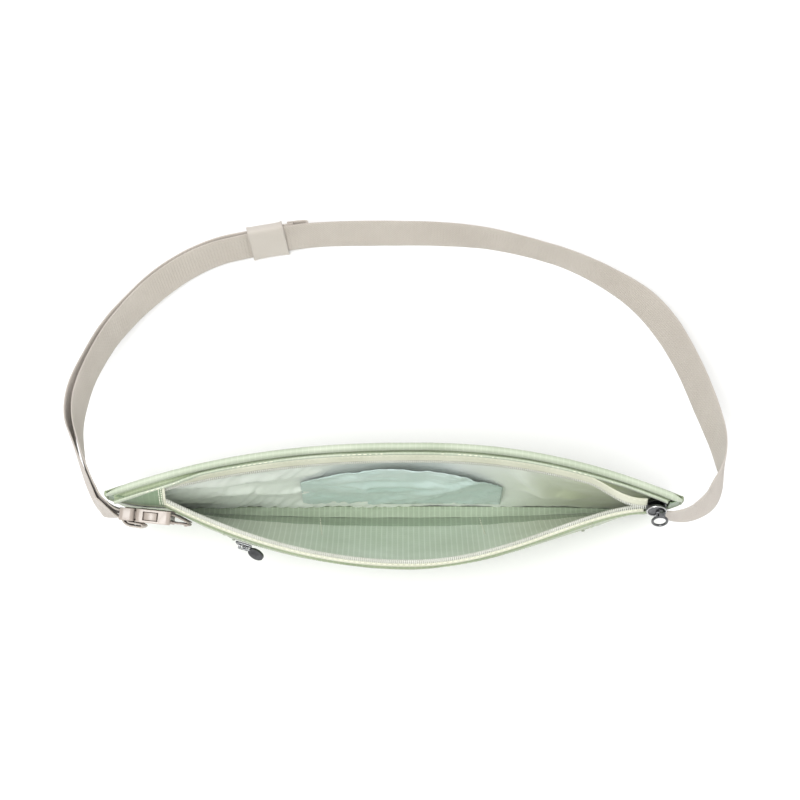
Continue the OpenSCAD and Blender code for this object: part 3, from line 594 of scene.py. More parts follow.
hem_points = np.stack([x, hem_y(x) - hem_thick / 2 + (roll_y - stitch_pull) * taper,
                       pouch_h - hem_high / 2 + roll_z * (0.55 + 0.45 * taper) - 0.4 * (1 - taper)], -1)
top_hem = make_piece("top_hem_roll", hem_points, wrap=True, caps=True, material=hem_cloth_painted_light)
sew(top_hem, "ripstop", "top_hem")


# ---- Thread ---------------------------------------------------------------------------------------
# Seams are lock-stitched with cream polyester thread, about ten stitches to 28 mm.
def stitches(name, line, out, material, pitch=2.8, length=2.1, radius=0.24, slant=0.0):
    """A row of stitches along a line in mm: each is a six-sided spindle as long as length, thickest in
    its middle as the square root of a half circle, and pushed out along the row of directions out."""
    run = run_of(line)
    places = np.arange(pitch / 2, run[-1], pitch)
    centre = np.stack([np.interp(places, run, c) for c in line.T], 1)
    outward = unit(np.stack([np.interp(places, run, c) for c in out.T], 1))
    along = unit(np.stack([np.interp(places, run, c) for c in unit(np.gradient(line, axis=0)).T], 1))
    beside = unit(np.cross(outward, along))
    along = unit(along + slant * beside)
    beside = unit(np.cross(outward, along))
    s = np.linspace(-1, 1, 6)[:, None]
    turn = np.linspace(0, tau, 6, endpoint=False)[None, :]
    girth = radius * np.sqrt(np.clip(1 - s**2, 0.04, 1))
    a, b, c = s * length / 2 + 0 * turn, girth * np.cos(turn), girth * np.sin(turn) - 0.1 * s**2
    points = (centre[:, None, None] + along[:, None, None] * a[..., None]
              + beside[:, None, None] * b[..., None] + outward[:, None, None] * c[..., None])
    count, rings, sides = points.shape[:3]
    i, j = np.meshgrid(np.arange(rings - 1), np.arange(sides), indexing="ij")
    one = np.stack([i * sides + j, (i + 1) * sides + j, (i + 1) * sides + (j + 1) % sides,
                    i * sides + (j + 1) % sides], -1).reshape(-1, 4)
    start = (np.arange(count) * rings * sides)[:, None, None]
    sides_faces = (start + one[None]).reshape(-1, 4).tolist()
    tip = np.arange(sides)
    tips = ((start[:, :, 0] + tip[None]).tolist()
            + (start[:, :, 0] + (rings - 1) * sides + tip[None, ::-1]).tolist())
    mesh = bpy.data.meshes.new(name)
    mesh.from_pydata((points.reshape(-1, 3) / 1000).tolist(), [], sides_faces + tips)
    mesh.polygons.foreach_set("use_smooth", [True] * len(mesh.polygons))
    mesh.materials.append(material)
    mesh.update()
    piece = bpy.data.objects.new(name, mesh)
    bpy.context.collection.objects.link(piece)
    return piece


def thread_material(name, light, dark):
    """Twisted thread: a fine slanted wave along its length, from Object coordinates."""
    material, tree, shader = new_material(name, Roughness=0.6, Sheen_Weight=0.3)
    place = add_node(tree, "ShaderNodeTexCoord")
    twist = add_node(tree, "ShaderNodeTexWave",
                     [("Vector", place.outputs["Object"]), ("Scale", 900.0), ("Distortion", 1.0)],
                     bands_direction="DIAGONAL")
    toned(tree, shader, light, dark, twist.outputs["Fac"], 0.6, 60, twist.outputs["Fac"], 0.00005)
    return material


cream_thread = thread_material("cream_thread", linear(244, 243, 226), linear(214, 214, 192))
sage_thread = thread_material("sage_thread", linear(206, 217, 190), linear(170, 186, 152))
to_back = np.array([[0.0, 1.0, 0.0]])
x = np.linspace(-half_w + 8, half_w - 6, 400)
hem_line = np.column_stack([x, hem_y(x) + 0.02, 0 * x + pouch_h - 6.2])
hem_stitch = stitches("hem_stitches", hem_line, np.repeat(to_back, 400, 0), cream_thread)
sew(hem_stitch, "thread")


# ---- Facing and upper zip tape -------------------------------------------------------------------
# Behind the hem a folded strip of the sage cloth is topstitched down, and the cream zip tape comes
# out from under it. The tape leans in over the mouth and carries half of the main zip's coil.
facing_dy = -hem_thick - 1.0
facing_step = 1.8


def left_end(x):
    """1 where the facing stands off the hem at the pouch's left end, easing to 0 along the mouth."""
    return 1 - eased(-118, -95, x)


groove_cloth = ripstop_material("groove_ripstop", linear(172, 182, 156), linear(140, 153, 122), cross=0.1,
                                share=0.3)
x, w = mesh_grid(-half_w + 4, half_w - 7, 300, 0, 1, 13)
facing_out = facing_step * left_end(x)
fold_turn = pi * np.clip((w - 0.35) / 0.3, 0, 1)
facing_low = 119.0 + 0.6 * ripple(x, 0 * x, 31, 40)
facing_y = hem_y(x) + facing_dy - facing_out - 0.45 * (1 - np.cos(fold_turn))
facing_z = np.where(w < 0.35, facing_low + 3.4 * w / 0.35,
                    np.where(w > 0.65, facing_low + 3.4 * (1 - w) / 0.35,
                             facing_low + 3.4 + 0.5 * np.sin(fold_turn)))
# The facing wears the hem's lighter copy too: painted light on its upturned faces.
facing = make_piece("facing_strip", np.stack([x, facing_y, facing_z], -1), material=hem_cloth_painted_light)
sew(thicken(facing, 0.35), "ripstop", "top_facing")
x, w = mesh_grid(-half_w + 4, half_w - 6, 300, 0, 1, 14)
groove_y = hem_y(x) - hem_thick + 0.4 + (facing_dy + hem_thick - 1.6 * left_end(x)) * w
groove_z = 120.6 + 2.1 * (1 - w) ** 2 + 1.1 * w**2 - 0.9 * np.sin(pi * w) + 0.25 * ripple(x, 6 * w, 33, 18)
groove = make_piece("facing_groove", np.stack([x, groove_y, groove_z], -1), material=groove_cloth)
sew(thicken(groove, 0.35), "ripstop")
x = np.linspace(-half_w + 6, half_w - 9, 400)
facing_edge = hem_y(x) + facing_dy - facing_step * left_end(x)
up_in = unit(np.array([[0.0, -0.45, 0.9]]))
facing_line = np.column_stack([x, facing_edge - 0.75, 0 * x + 122.6])
sew(stitches("facing_stitches", facing_line, np.repeat(up_in, 400, 0), cream_thread), "thread")


def tape_material(name, light, dark):
    """Woven zip tape: a herringbone of fine yarns, matt."""
    material, tree, shader = new_material(name, Roughness=0.7, Sheen_Weight=0.2)
    uv = add_node(tree, "ShaderNodeUVMap", uv_map="cloth")
    weave = add_node(tree, "ShaderNodeGroup", node_tree=yarn_weave)
    tree.links.new(uv.outputs[0], weave.inputs["Vector"])
    weave.inputs["Pitch"].default_value = 0.0007
    weave.inputs["Slant"].default_value = 1.0
    toned(tree, shader, light, dark, weave.outputs["Mask"], 0.5, 50, weave.outputs["Height"], 0.00012)
    return material


cream_tape = tape_material("cream_zip_tape", linear(216, 217, 198), linear(186, 188, 164))
upper_zip_right = 128.0
x, w = mesh_grid(zip_left, upper_zip_right, 260, 0, 1, 8)


def upper_tape_y(x, w):
    """Across the tape from the facing, w 0, to the coil, w 1; it reaches out less at its left end."""
    reach = 0.58 + 0.42 * eased(zip_left, zip_left + 60, x)
    along_hem = hem_y(x) - hem_thick - 1.9 - 1.9 * reach * w
    to_slider = eased(98, 129, x)
    return along_hem * (1 - to_slider) + (-15.3 - 2.4 * w) * to_slider


tape_z = 120.4 - 5.0 * w + 0.25 * ripple(x, w, 37, 30) * w
upper_tape = make_piece("upper_zip_tape", np.stack([x, upper_tape_y(x, w), tape_z], -1), material=cream_tape)
sew(thicken(upper_tape, 0.5), "zip_tape", "main_tape_upper")
x = np.linspace(zip_left + 1, upper_zip_right, 300)
tape_line = np.column_stack([x, upper_tape_y(x, 0.28), 0 * x + 119.35])
sew(stitches("upper_tape_stitches", tape_line, np.repeat(up_in, 300, 0), cream_thread, radius=0.2), "thread")


# ---- Main zip coils ------------------------------------------------------------------------------
# Each half of the zip is a nylon wire wound into a flattened spiral and sewn along its tape's edge.
def zip_coil(name, path, across, up, half_wide, half_high, pitch, wire, material):
    """A wire of that radius on a helix: the path plus half_wide across times the cosine of the turn
    and half_high up times its sine. Six points ring the wire at each step."""
    turns = run_of(path)[-1] / pitch
    count = int(turns * 12)
    share = np.linspace(0, 1, count)
    run = run_of(path) / run_of(path)[-1]
    centre = np.stack([np.interp(share, run, c) for c in path.T], 1)
    side = unit(np.stack([np.interp(share, run, c) for c in across.T], 1))
    high = unit(np.stack([np.interp(share, run, c) for c in up.T], 1))
    turn = (tau * turns * share)[:, None]
    wound = centre + side * half_wide * np.cos(turn) + high * half_high * np.sin(turn)
    along = unit(np.gradient(wound, axis=0))
    first = unit(np.cross(along, unit(wound - centre)))
    second = np.cross(along, first)
    ring = np.linspace(0, tau, 6, endpoint=False)[None, :, None]
    points = wound[:, None] + wire * (np.cos(ring) * first[:, None] + np.sin(ring) * second[:, None])
    return make_piece(name, points, wrap=True, caps=True, material=material)


def nylon_material(name, light, dark):
    """Smooth nylon with a low gloss and slight patches."""
    material, tree, shader = new_material(name, Roughness=0.32)
    place = add_node(tree, "ShaderNodeTexCoord")
    noise = add_node(tree, "ShaderNodeTexNoise",
                     [("Vector", place.outputs["Object"]), ("Scale", 400.0), ("Detail", 3.0)])
    toned(tree, shader, light, dark, noise.outputs[0], 0.5, 60, noise.outputs[0], 0.00002)
    return material


white_nylon = nylon_material("white_coil_nylon", linear(228, 229, 222), linear(190, 192, 178))
coil_pitch = 1.0
x = np.linspace(zip_left, upper_zip_right, 400)
upper_path = np.column_stack([x, upper_tape_y(x, 1.0) - 0.35, 0 * x + 114.4])
across_mouth = np.repeat([[0.0, 0.35, 0.94]], 400, 0)
over_mouth = np.repeat([[0.0, -0.94, 0.35]], 400, 0)
upper_coil = zip_coil("upper_zip_coil", upper_path, across_mouth, over_mouth, 1.0, 0.5, coil_pitch, 0.3,
                      white_nylon)
sew(upper_coil, "zip_coil", "main_coil_upper")

x = np.linspace(zip_left + 0.2, zip_right - 0.2, 400)
lower_path = np.column_stack([x, lip_y(x) + 1.95, lip_z(x) + 0.95])
flat_across = np.repeat([[0.0, 1.0, 0.12]], 400, 0)
flat_up = np.repeat([[0.0, -0.12, 1.0]], 400, 0)
lower_coil = zip_coil("lower_zip_coil", lower_path, flat_across, flat_up, 0.95, 0.55, coil_pitch, 0.3,
                      white_nylon)
sew(lower_coil, "zip_coil", "main_coil_lower")

# ---- Lower zip tape ------------------------------------------------------------------------------
# Its twin runs along the front lip: sewn inside the front wall, it folds in over the mouth.
x, w = mesh_grid(zip_left + 0.2, zip_right - 0.2, 260, 0, 1, 12)
tape_turn = pi / 2 * np.clip((w - 0.35) / 0.3, 0, 1)
over = np.clip((w - 0.65) / 0.35, 0, 1)
lower_tape_y = lip_y(x) - 0.1 + 0.6 * (1 - np.cos(tape_turn)) + 0.6 * over
lower_tape_z = lip_z(x) - 3.4 + 2.9 * np.clip(w / 0.35, 0, 1) + 0.9 * np.sin(tape_turn) + 0.25 * over
lower_tape_z = lower_tape_z + 0.12 * ripple(x, w, 41, 22)
lower_tape = make_piece("lower_zip_tape", np.stack([x, lower_tape_y, lower_tape_z], -1), material=cream_tape)
sew(thicken(lower_tape, 0.45), "zip_tape", "main_tape_lower")
x = np.linspace(zip_left + 1, zip_right - 1, 400)
lower_line = np.column_stack([x, lip_y(x) + 0.35, lip_z(x) + 0.6])
sew(stitches("lower_tape_stitches", lower_line, flat_up, cream_thread, radius=0.2), "thread")

# ---- Front wall ----------------------------------------------------------------------------------
# The front is cut in four round the pocket zip: a tall piece below it, a strip above it, and a side
# piece at each end. Raw edges are turned in, so each edge beside a zip is a fold with topstitching.
strip_low, strip_high, lip_share = 0.775, 0.835, 0.985


def front_cloth(name, x0, x1, t0, t1, columns, rows, seed, folds):
    """A patch of the front wall, rumpled by up to 0.5 mm; folds (low, high) turn an edge in by 0.9 mm."""
    x, t = mesh_grid(x0, x1, columns, t0, t1, rows)
    edge = np.minimum(np.minimum(x - x0, x1 - x) / 12, 1)
    held = np.clip(edge, 0, 1) * np.sin(pi * (t - t0) / (t1 - t0)) ** 0.6
    rumple = 0.5 * ripple(x, t * 100, seed, 70) * held
    turned = folds[0] * np.exp(-(t - t0) / 0.006) + folds[1] * np.exp(-(t1 - t) / 0.006)
    puff = -0.35 * (folds[0] * np.exp(-(((t - t0 - 0.018) / 0.012) ** 2))
                    + folds[1] * np.exp(-(((t1 - t - 0.018) / 0.012) ** 2)))
    patch = make_piece(name, front_point(x, t, 0.9 * turned + puff + rumple), material=sage_cloth)
    return thicken(patch, 0.55)


front_lower = front_cloth("front_lower_cloth", pocket_left, pocket_right, 0.004, strip_low,
                          150, 90, 51, (0, 1))
sew(front_lower, "ripstop", "front_lower")
front_upper = front_cloth("front_upper_cloth", pocket_left, pocket_right, strip_high, lip_share,
                          150, 26, 52, (1, 1))
sew(front_upper, "ripstop", "front_upper")
side_left = front_cloth("front_side_left", -half_w, pocket_left, 0.004, lip_share, 70, 100, 53, (0, 1))
sew(side_left, "ripstop", "front_left")
side_right = front_cloth("front_side_right", pocket_right, half_w, 0.004, lip_share, 50, 100, 54, (0, 1))
sew(side_right, "ripstop", "front_right")


def front_stitches(name, x0, x1, t0, t1, material, **sizes):
    """A row of stitches on the front wall, along X when t0 is t1 and up the wall when x0 is x1."""
    share = np.linspace(0, 1, 300)
    line = front_point(x0 + (x1 - x0) * share, t0 + (t1 - t0) * share, -0.42)
    piece = stitches(name, line, np.repeat([[0.0, -1.0, 0.15]], 300, 0), material, **sizes)
    sew(piece, "thread")


front_stitches("lip_topstitch", zip_left, zip_right, lip_share - 0.018, lip_share - 0.018, sage_thread)
front_stitches("pocket_upper_topstitch", pocket_left, pocket_right, strip_high + 0.012, strip_high + 0.012,
               sage_thread)
front_stitches("pocket_lower_topstitch", pocket_left, pocket_right, strip_low - 0.012, strip_low - 0.012,
               sage_thread)
front_stitches("left_seam_topstitch", pocket_left - 2, pocket_left - 2, 0.03, lip_share - 0.03, sage_thread)
front_stitches("right_seam_topstitch", pocket_right + 2, pocket_right + 2, 0.03, lip_share - 0.03,
               sage_thread)

# ---- Front pocket zip ----------------------------------------------------------------------------
# A finer zip in sage, closed along most of its length, set between the two folded edges.
sage_tape = tape_material("sage_zip_tape", linear(186, 198, 168), linear(152, 168, 134))
for name, t0, t1 in (("pocket_tape_lower", strip_low - 0.008, 0.797),
                     ("pocket_tape_upper", 0.813, strip_high + 0.008)):
    x, t = mesh_grid(pocket_left, pocket_right, 160, t0, t1, 5)
    pocket_tape = make_piece(name + "_cloth", front_point(x, t, 0.35), material=sage_tape)
    sew(thicken(pocket_tape, 0.4), "pocket_tape", name)
sage_nylon = nylon_material("sage_coil_nylon", linear(176, 190, 158), linear(140, 156, 122))
x = np.linspace(pocket_left + 1, pocket_right - 1, 400)
pocket_path = front_point(x, 0.805, -0.1)
wall_up = unit(front_point(x, 0.815) - front_point(x, 0.795))
wall_out = np.cross(wall_up, [1.0, 0.0, 0.0]) * -1
wall_out = wall_out * np.sign(-wall_out[:, 1:2])
pocket_coil = zip_coil("pocket_zip_coil", pocket_path, wall_up, wall_out, 1.7, 0.5, 1.1, 0.25, sage_nylon)
sew(pocket_coil, "pocket_coil", "pocket_coil")
olive_thread = thread_material("olive_thread", linear(120, 132, 96), linear(84, 96, 66))
for name, x_end in (("left", pocket_left + 3.1), ("right", pocket_right - 3.4)):
    share = np.linspace(0, 1, 60)
    bar = front_point(x_end + 0 * share, 0.783 + 0.044 * share, -1.25)
    piece = stitches("pocket_bartack_" + name, bar, np.repeat([[0.0, -1.0, 0.1]], 60, 0),
                     olive_thread, pitch=0.42, length=1.7, radius=0.24, slant=7.0)
    sew(piece, "dark_thread", *(["pocket_bartacks"] if name == "left" else []))


# ---- End pieces ----------------------------------------------------------------------------------
# Beyond each end of the main zip the mouth is closed by a scrap of the sage cloth, topstitched to the
# facing. A cream bar of stitching crosses the zip's left end where it is caught under the scrap.
end_cloth = ripstop_material("end_ripstop", linear(126, 145, 117), linear(94, 116, 88), cross=0.25,
                             share=0.25)


def end_point(x, w):
    """From the lip, w 0, to the facing's fold, w 1, along a low arch."""
    y0, z0 = lip_y(x) - 0.6, lip_z(x) * lip_share
    y1 = hem_y(x) + facing_dy - facing_step * left_end(x) - 0.2
    y1 = np.maximum(y1, y0 + 0.3)
    arch = 1.1 * np.sin(pi * w)
    return np.stack([x, y0 + (y1 - y0) * w, z0 + (121.6 - z0) * w + arch], -1)


for name, x0, x1, columns in (("left", -half_w + 0.3, zip_left + 0.4, 60),
                              ("right", zip_right + 12, half_w - 0.3, 20)):
    x, w = mesh_grid(x0, x1, columns, 0, 1, 26)
    scrap = end_point(x, w)
    scrap[..., 2] += 0.5 * ripple(x, 8 * w, 61, 14) * np.sin(pi * w)
    scrap_piece = thicken(make_piece("end_scrap_" + name, scrap, material=end_cloth), 0.5)
    sew(scrap_piece, "ripstop", "end_panel_" + name)
share = np.linspace(0.04, 0.96, 80)
bar_top = np.repeat([[0.0, -0.5, 0.9]], 80, 0)
for k, shift in enumerate((-0.7, -1.9)):
    bar = end_point(zip_left + shift + 0 * share, share) + [0, -0.15, 0.42]
    zip_bar = stitches(f"zip_end_bar_{k}", bar, bar_top, cream_thread, pitch=1.5, length=1.25, radius=0.27)
    sew(zip_bar, "thread", *(["zip_end_stitch"] if k == 0 else []))
fold_edge = end_point(zip_left + 0.5 + 0 * share, share) + [0, 0, 0.1]
fold_across = np.repeat([[1.0, 0.0, 0.0]], 80, 0)
zip_end_fold = webbing("zip_end_fold", *banded(np.column_stack([fold_edge, fold_across]), 0.3), 0.7, 0.7, 0.0,
                       cream_tape, seed=9)
sew(zip_end_fold, "zip_tape")

# ---- Side seams ----------------------------------------------------------------------------------
# Front and back meet in a bound seam down each side, a narrow rounded ridge.
for name, side in (("left", -1), ("right", 1)):
    z, w = np.meshgrid(np.linspace(0.9, pouch_h - 7.5, 120), np.linspace(0, tau, 17)[:-1], indexing="ij")
    edge_x = side * half_w
    y_front = front_point(edge_x + 0 * z, np.clip(z / 111, 0, 1))[..., 1] - 0.4
    y_back = back_y(edge_x + 0 * z, z) + 0.4
    seam_y = (y_front + y_back) / 2 + (y_back - y_front) / 2 * np.sign(np.cos(w)) * np.abs(np.cos(w)) ** 0.7
    seam_x = edge_x + side * 0.55 + 0.75 * np.sin(w) + 0.1 * ripple(z, 0 * z, 66, 30)
    seam = make_piece("side_seam_" + name + "_cloth", np.stack([seam_x, seam_y, z], -1), wrap=True, caps=True,
                      material=sage_cloth)
    sew(seam, "ripstop", "side_seam_" + name)

# ---- Front lining --------------------------------------------------------------------------------
# The inside of the front is the same ripstop seen from its coated side, with fine upright pinstripes. Its pale
# colour is brightened nearly to white as painted light.
# A darker strip of the same ripstop runs along the floor: painted shade deep in the pouch. The wall above it
# lies in a shallow crease.
# Near-white: the cloth's pale colour brightened further as painted light.
inner_cloth_painted_light = ripstop_material("inner_ripstop", linear(240, 246, 232), linear(204, 214, 192), roughness=0.55,
                               pitch=0.0029, line=0.0007, cross=0.3, share=0.55)
# A darker copy of the inner ripstop: painted shade for the floor strip and the floor lining.
floor_painted_shade_cloth = ripstop_material("floor_painted_shade_ripstop", linear(178, 192, 170), linear(146, 160, 137), roughness=0.6,
                                pitch=0.0029, line=0.0007, cross=0.3, share=0.55)
crease_share = 0.10


def inner_point(x, t, seed):
    """2 mm inside the front wall, pinched out by a shallow crease near the floor and slightly slack between
    seams.
    """
    pinch = 0.9 * np.exp(-np.abs(t - crease_share) / 0.018) * depth(x)
    slack = 0.7 * ripple(x, t * 60, seed, 60) * np.sin(pi * np.clip(t, 0, 1)) ** 0.5 * depth(x)
    return front_point(x, t, 2.1 + slack - pinch)


x, t = mesh_grid(-134, 132, 200, crease_share - 0.01, 0.972, 90)
inner_wall = make_piece("inner_front_wall", inner_point(x, t, 71), material=inner_cloth_painted_light)
thicken(inner_wall, 0.4)
sew(inner_wall, "inner_ripstop", "lining_front")
x, t = mesh_grid(-134, 132, 200, 0.012, crease_share + 0.004, 24)
shaded_floor_strip = make_piece("floor_painted_shade_strip", inner_point(x, t, 71) + [0, 0.25, 0], material=floor_painted_shade_cloth)
thicken(shaded_floor_strip, 0.4)
sew(shaded_floor_strip, "inner_ripstop")
y_share, x = np.meshgrid(np.linspace(0, 1, 14), np.linspace(-134, 132, 160))
floor_front = inner_point(x, 0.012 + 0 * x, 71)[..., 1] + 0.3
floor_back = back_y(x, 2.0) - 2.5 - 1.5 * depth(x)
floor_points = np.stack([x, floor_front + (floor_back - floor_front) * y_share,
                         2.6 + 0.5 * ripple(x, 9 * y_share, 73, 30)], -1)
# The floor lining wears the darker copy too: painted shade deep in the pouch.
floor_lining = thicken(make_piece("floor_lining", floor_points, material=floor_painted_shade_cloth), 0.3)
sew(floor_lining, "inner_ripstop")
for k, x_seam in enumerate((-41, 47)):
    share = np.linspace(0, 1, 60)
    tack = inner_point(x_seam + 2.0 * share, 0.03 + 0.27 * share, 71) + [0, 0.35, 0.1]
    tack_row = stitches(f"tack_stitches_{k}", tack, np.repeat([[0.0, 0.9, 0.35]], 60, 0), cream_thread,
                        radius=0.32)
    sew(tack_row, "thread", *(["lining_stitches"] if k == 0 else []))

# ---- Back lining ---------------------------------------------------------------------------------
# Pale mint satin, cut a little large and sewn only round its rim, so it lies in soft folds. Towards the right
# end its colour is graded to olive as a plain gradient along X: painted shade and painted green reflection
# from the cloth behind it.
satin, tree, shader = new_material("mint_satin", Roughness=0.42, Sheen_Weight=0.35, Sheen_Roughness=0.35)
uv = add_node(tree, "ShaderNodeUVMap", uv_map="cloth")
place = add_node(tree, "ShaderNodeTexCoord")
spot = add_node(tree, "ShaderNodeSeparateXYZ", [(0, place.outputs["Object"])])
# The olive grade along X is painted shade and painted green reflection.
painted_olive_shade = add_node(tree, "ShaderNodeMapRange",
                 [("Value", spot.outputs[0]), ("From Min", 0.045), ("From Max", 0.118)],
                 interpolation_type="SMOOTHSTEP")
weave = add_node(tree, "ShaderNodeGroup", node_tree=yarn_weave)
tree.links.new(uv.outputs[0], weave.inputs["Vector"])
weave.inputs["Pitch"].default_value = 0.0004
unshaded_share = math_node(tree, "SUBTRACT", 1.0, painted_olive_shade.outputs[0])
# Pale mint where the painted shade is absent, and the olive dark tone where it is present.
toned(tree, shader, linear(248, 252, 249), linear(206, 212, 174), unshaded_share, 0.85, 30,
      weave.outputs["Height"], 0.00003)


def crumple(piece, held, swell, limits, frames=18):
    """Cloth simulation without gravity: the held points stay, and the sheet grows by the share swell,
    so it buckles. A point moves along Y by no more than limits (forward, back) in mm, eased by a
    hyperbolic tangent, and half as far along X and Z."""
    group = piece.vertex_groups.new(name="held")
    group.add(np.flatnonzero(held).tolist(), 1.0, "REPLACE")
    cloth = piece.modifiers.new("cloth", "CLOTH")
    settings = cloth.settings
    settings.quality = 5
    settings.mass = 0.05
    settings.tension_stiffness = 12
    settings.compression_stiffness = 12
    settings.shear_stiffness = 5
    settings.bending_stiffness = 0.02
    settings.shrink_min = -swell
    settings.vertex_group_mass = "held"
    settings.effector_weights.gravity = 0
    cloth.collision_settings.use_collision = False
    cloth.point_cache.frame_start = 1
    cloth.point_cache.frame_end = frames
    start = np.empty(len(piece.data.vertices) * 3)
    piece.data.vertices.foreach_get("co", start)
    for f in range(1, frames + 1):
        bpy.context.scene.frame_set(f)
    seen = piece.evaluated_get(bpy.context.evaluated_depsgraph_get())
    moved = np.empty_like(start)
    seen.data.vertices.foreach_get("co", moved)
    piece.modifiers.remove(cloth)
    bpy.context.scene.frame_set(1)
    shift = (moved - start).reshape(-1, 3) * 1000
    reach = np.where(shift[:, 1] < 0, limits[0].ravel(), limits[1].ravel())
    shift[:, 1] = reach * np.tanh(shift[:, 1] / reach)
    shift[:, 0] = 0.5 * reach * np.tanh(shift[:, 0] / reach)
    shift[:, 2] = 0.5 * reach * np.tanh(shift[:, 2] / reach)
    piece.data.vertices.foreach_set("co", start + shift.ravel() / 1000)
    piece.data.update()


def rim_of(columns, rows, free_top=False):
    """True at the rim of a grid of points; a free top leaves out its last row."""
    rim = np.zeros((columns, rows), bool)
    rim[0] = rim[-1] = rim[:, 0] = True
    if not free_top:
        rim[:, -1] = True
    return rim.ravel()


pocket_x, pocket_half = 4.0, 54.0
x, z = mesh_grid(-134, 134, 170, 1.4, 117.4, 74)
lining_y = back_y(x, z) + (-2.3 - 2.4 * eased(92, 117, z)) * (0.6 + 0.4 * depth(x))
lining_y = lining_y - 1.6 * depth(x) * np.exp(-(((z - 5) / 10) ** 2))


def ridge(x, z, start, end, height, width):
    """A fold along a line: height times a bell of the distance from the line, fading to its ends."""
    start, end = np.array(start, float), np.array(end, float)
    way = end - start
    share = ((x - start[0]) * way[0] + (z - start[1]) * way[1]) / (way @ way)
    away = ((x - start[0]) * way[1] - (z - start[1]) * way[0]) / np.linalg.norm(way)
    return height * np.exp(-((away / width) ** 2)) * np.exp(-((2.2 * (share - 0.5)) ** 4))


lining_folds = (ridge(x, z, (-108, 104), (-52, 70), 3.4, 7) + ridge(x, z, (-96, 70), (-50, 34), 3.0, 8)
                + ridge(x, z, (60, 98), (84, 40), 4.2, 6) + ridge(x, z, (78, 104), (116, 78), 3.4, 7)
                + ridge(x, z, (66, 50), (104, 30), 3.0, 7))
behind_pocket = np.exp(-(((x - pocket_x) / (pocket_half + 4)) ** 8))
lining_y = lining_y - lining_folds * (1 - behind_pocket) - 0.4 * ripple(x, z, 81, 50)
back_lining = make_piece("back_lining_satin", np.stack([x, lining_y, z], -1), material=satin)
crumple(back_lining, rim_of(170, 74), 0.05, (1.0 + 3.5 * (1 - behind_pocket), 0.35 + 0 * x))
thicken(back_lining, 0.3)
sew(back_lining, "lining", "lining_back")

# ---- Inner pocket --------------------------------------------------------------------------------
# A slack pocket of thin nylon against the back lining; its top edge is a narrow hem. Its blue-green tint is
# painted shade.
pocket_nylon_painted_shade, tree, shader = new_material("pocket_nylon_painted_shade_tint", Roughness=0.5, Sheen_Weight=0.25, Sheen_Roughness=0.4)
uv = add_node(tree, "ShaderNodeUVMap", uv_map="cloth")
weave = add_node(tree, "ShaderNodeGroup", node_tree=yarn_weave)
tree.links.new(uv.outputs[0], weave.inputs["Vector"])
weave.inputs["Pitch"].default_value = 0.0005
# Blue-green tint: painted shade on the pocket's thin nylon.
toned(tree, shader, linear(222, 237, 235), linear(190, 212, 206), weave.outputs["Mask"], 0.15, 28,
      weave.outputs["Height"], 0.00004)
u, v = mesh_grid(-1, 1, 110, 0, 1, 66)
x = pocket_x + pocket_half * u
pocket_z = 8 + (103 - 48 * u**2 - 6 * u - 8) * v
pocket_y = back_y(x, pocket_z) - 3.6 - 4.9 * v * (1 - u**2)
pocket_y = (pocket_y - ridge(x, pocket_z, (-34, 60), (30, 66), 2.2, 5)
            - ridge(x, pocket_z, (8, 40), (44, 74), 2.4, 5)
            - ridge(x, pocket_z, (-20, 100), (-14, 40), 1.2, 3)
            - 0.5 * ripple(x, pocket_z, 83, 40) * (1 - u**2))
inner_pocket = make_piece("inner_pocket_cloth", np.stack([x, pocket_y, pocket_z], -1), material=pocket_nylon_painted_shade)
crumple(inner_pocket, rim_of(110, 66), 0.02, (1.6 + 0 * x, 0.6 + 0 * x))
thicken(inner_pocket, 0.3)
sew(inner_pocket, "divider", "divider_pocket")

# ---- Front pocket bag ----------------------------------------------------------------------------
# The front pocket's back: a plain sage bag that hangs between the front wall and its lining.
x, t = mesh_grid(pocket_left + 2, pocket_right - 2, 90, 0.05, strip_low - 0.03, 40)
bag_points = front_point(x, t, 1.05 + 0.15 * ripple(x, 90 * t, 91, 40))
bag = make_piece("front_pocket_bag", bag_points, material=sage_cloth)
thicken(bag, 0.3)
sew(bag, "pocket_bag", "pocket_bag")


# ---- Buckle --------------------------------------------------------------------------------------
# A side-release buckle for 20 mm webbing, moulded in pinkish beige acetal: a housing, the half that
# plugs into it, and its two springy arms. Moulded edges are rounded.
def rounded_copy(node, name, material, bevel, body):
    """The CAD piece with its doubled points merged, flat faces joined, and sharp edges bevelled (mm)."""
    shape = bmesh.new()
    shape.from_mesh(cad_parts[node].data)
    bmesh.ops.remove_doubles(shape, verts=shape.verts, dist=2e-6)
    bmesh.ops.dissolve_limit(shape, angle_limit=np.radians(1.0), verts=shape.verts, edges=shape.edges)
    sharp = [e for e in shape.edges if len(e.link_faces) == 2 and e.calc_face_angle(0) > np.radians(32)]
    bmesh.ops.bevel(shape, geom=sharp, offset=bevel / 1000, segments=3, profile=0.5, affect="EDGES",
                    clamp_overlap=True)
    mesh = bpy.data.meshes.new(name)
    shape.to_mesh(mesh)
    shape.free()
    mesh.polygons.foreach_set("use_smooth", [True] * len(mesh.polygons))
    mesh.set_sharp_from_angle(angle=np.radians(35))
    mesh.materials.append(material)
    piece = bpy.data.objects.new(name, mesh)
    bpy.context.collection.objects.link(piece)
    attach(piece, body)
    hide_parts(node)
    return piece


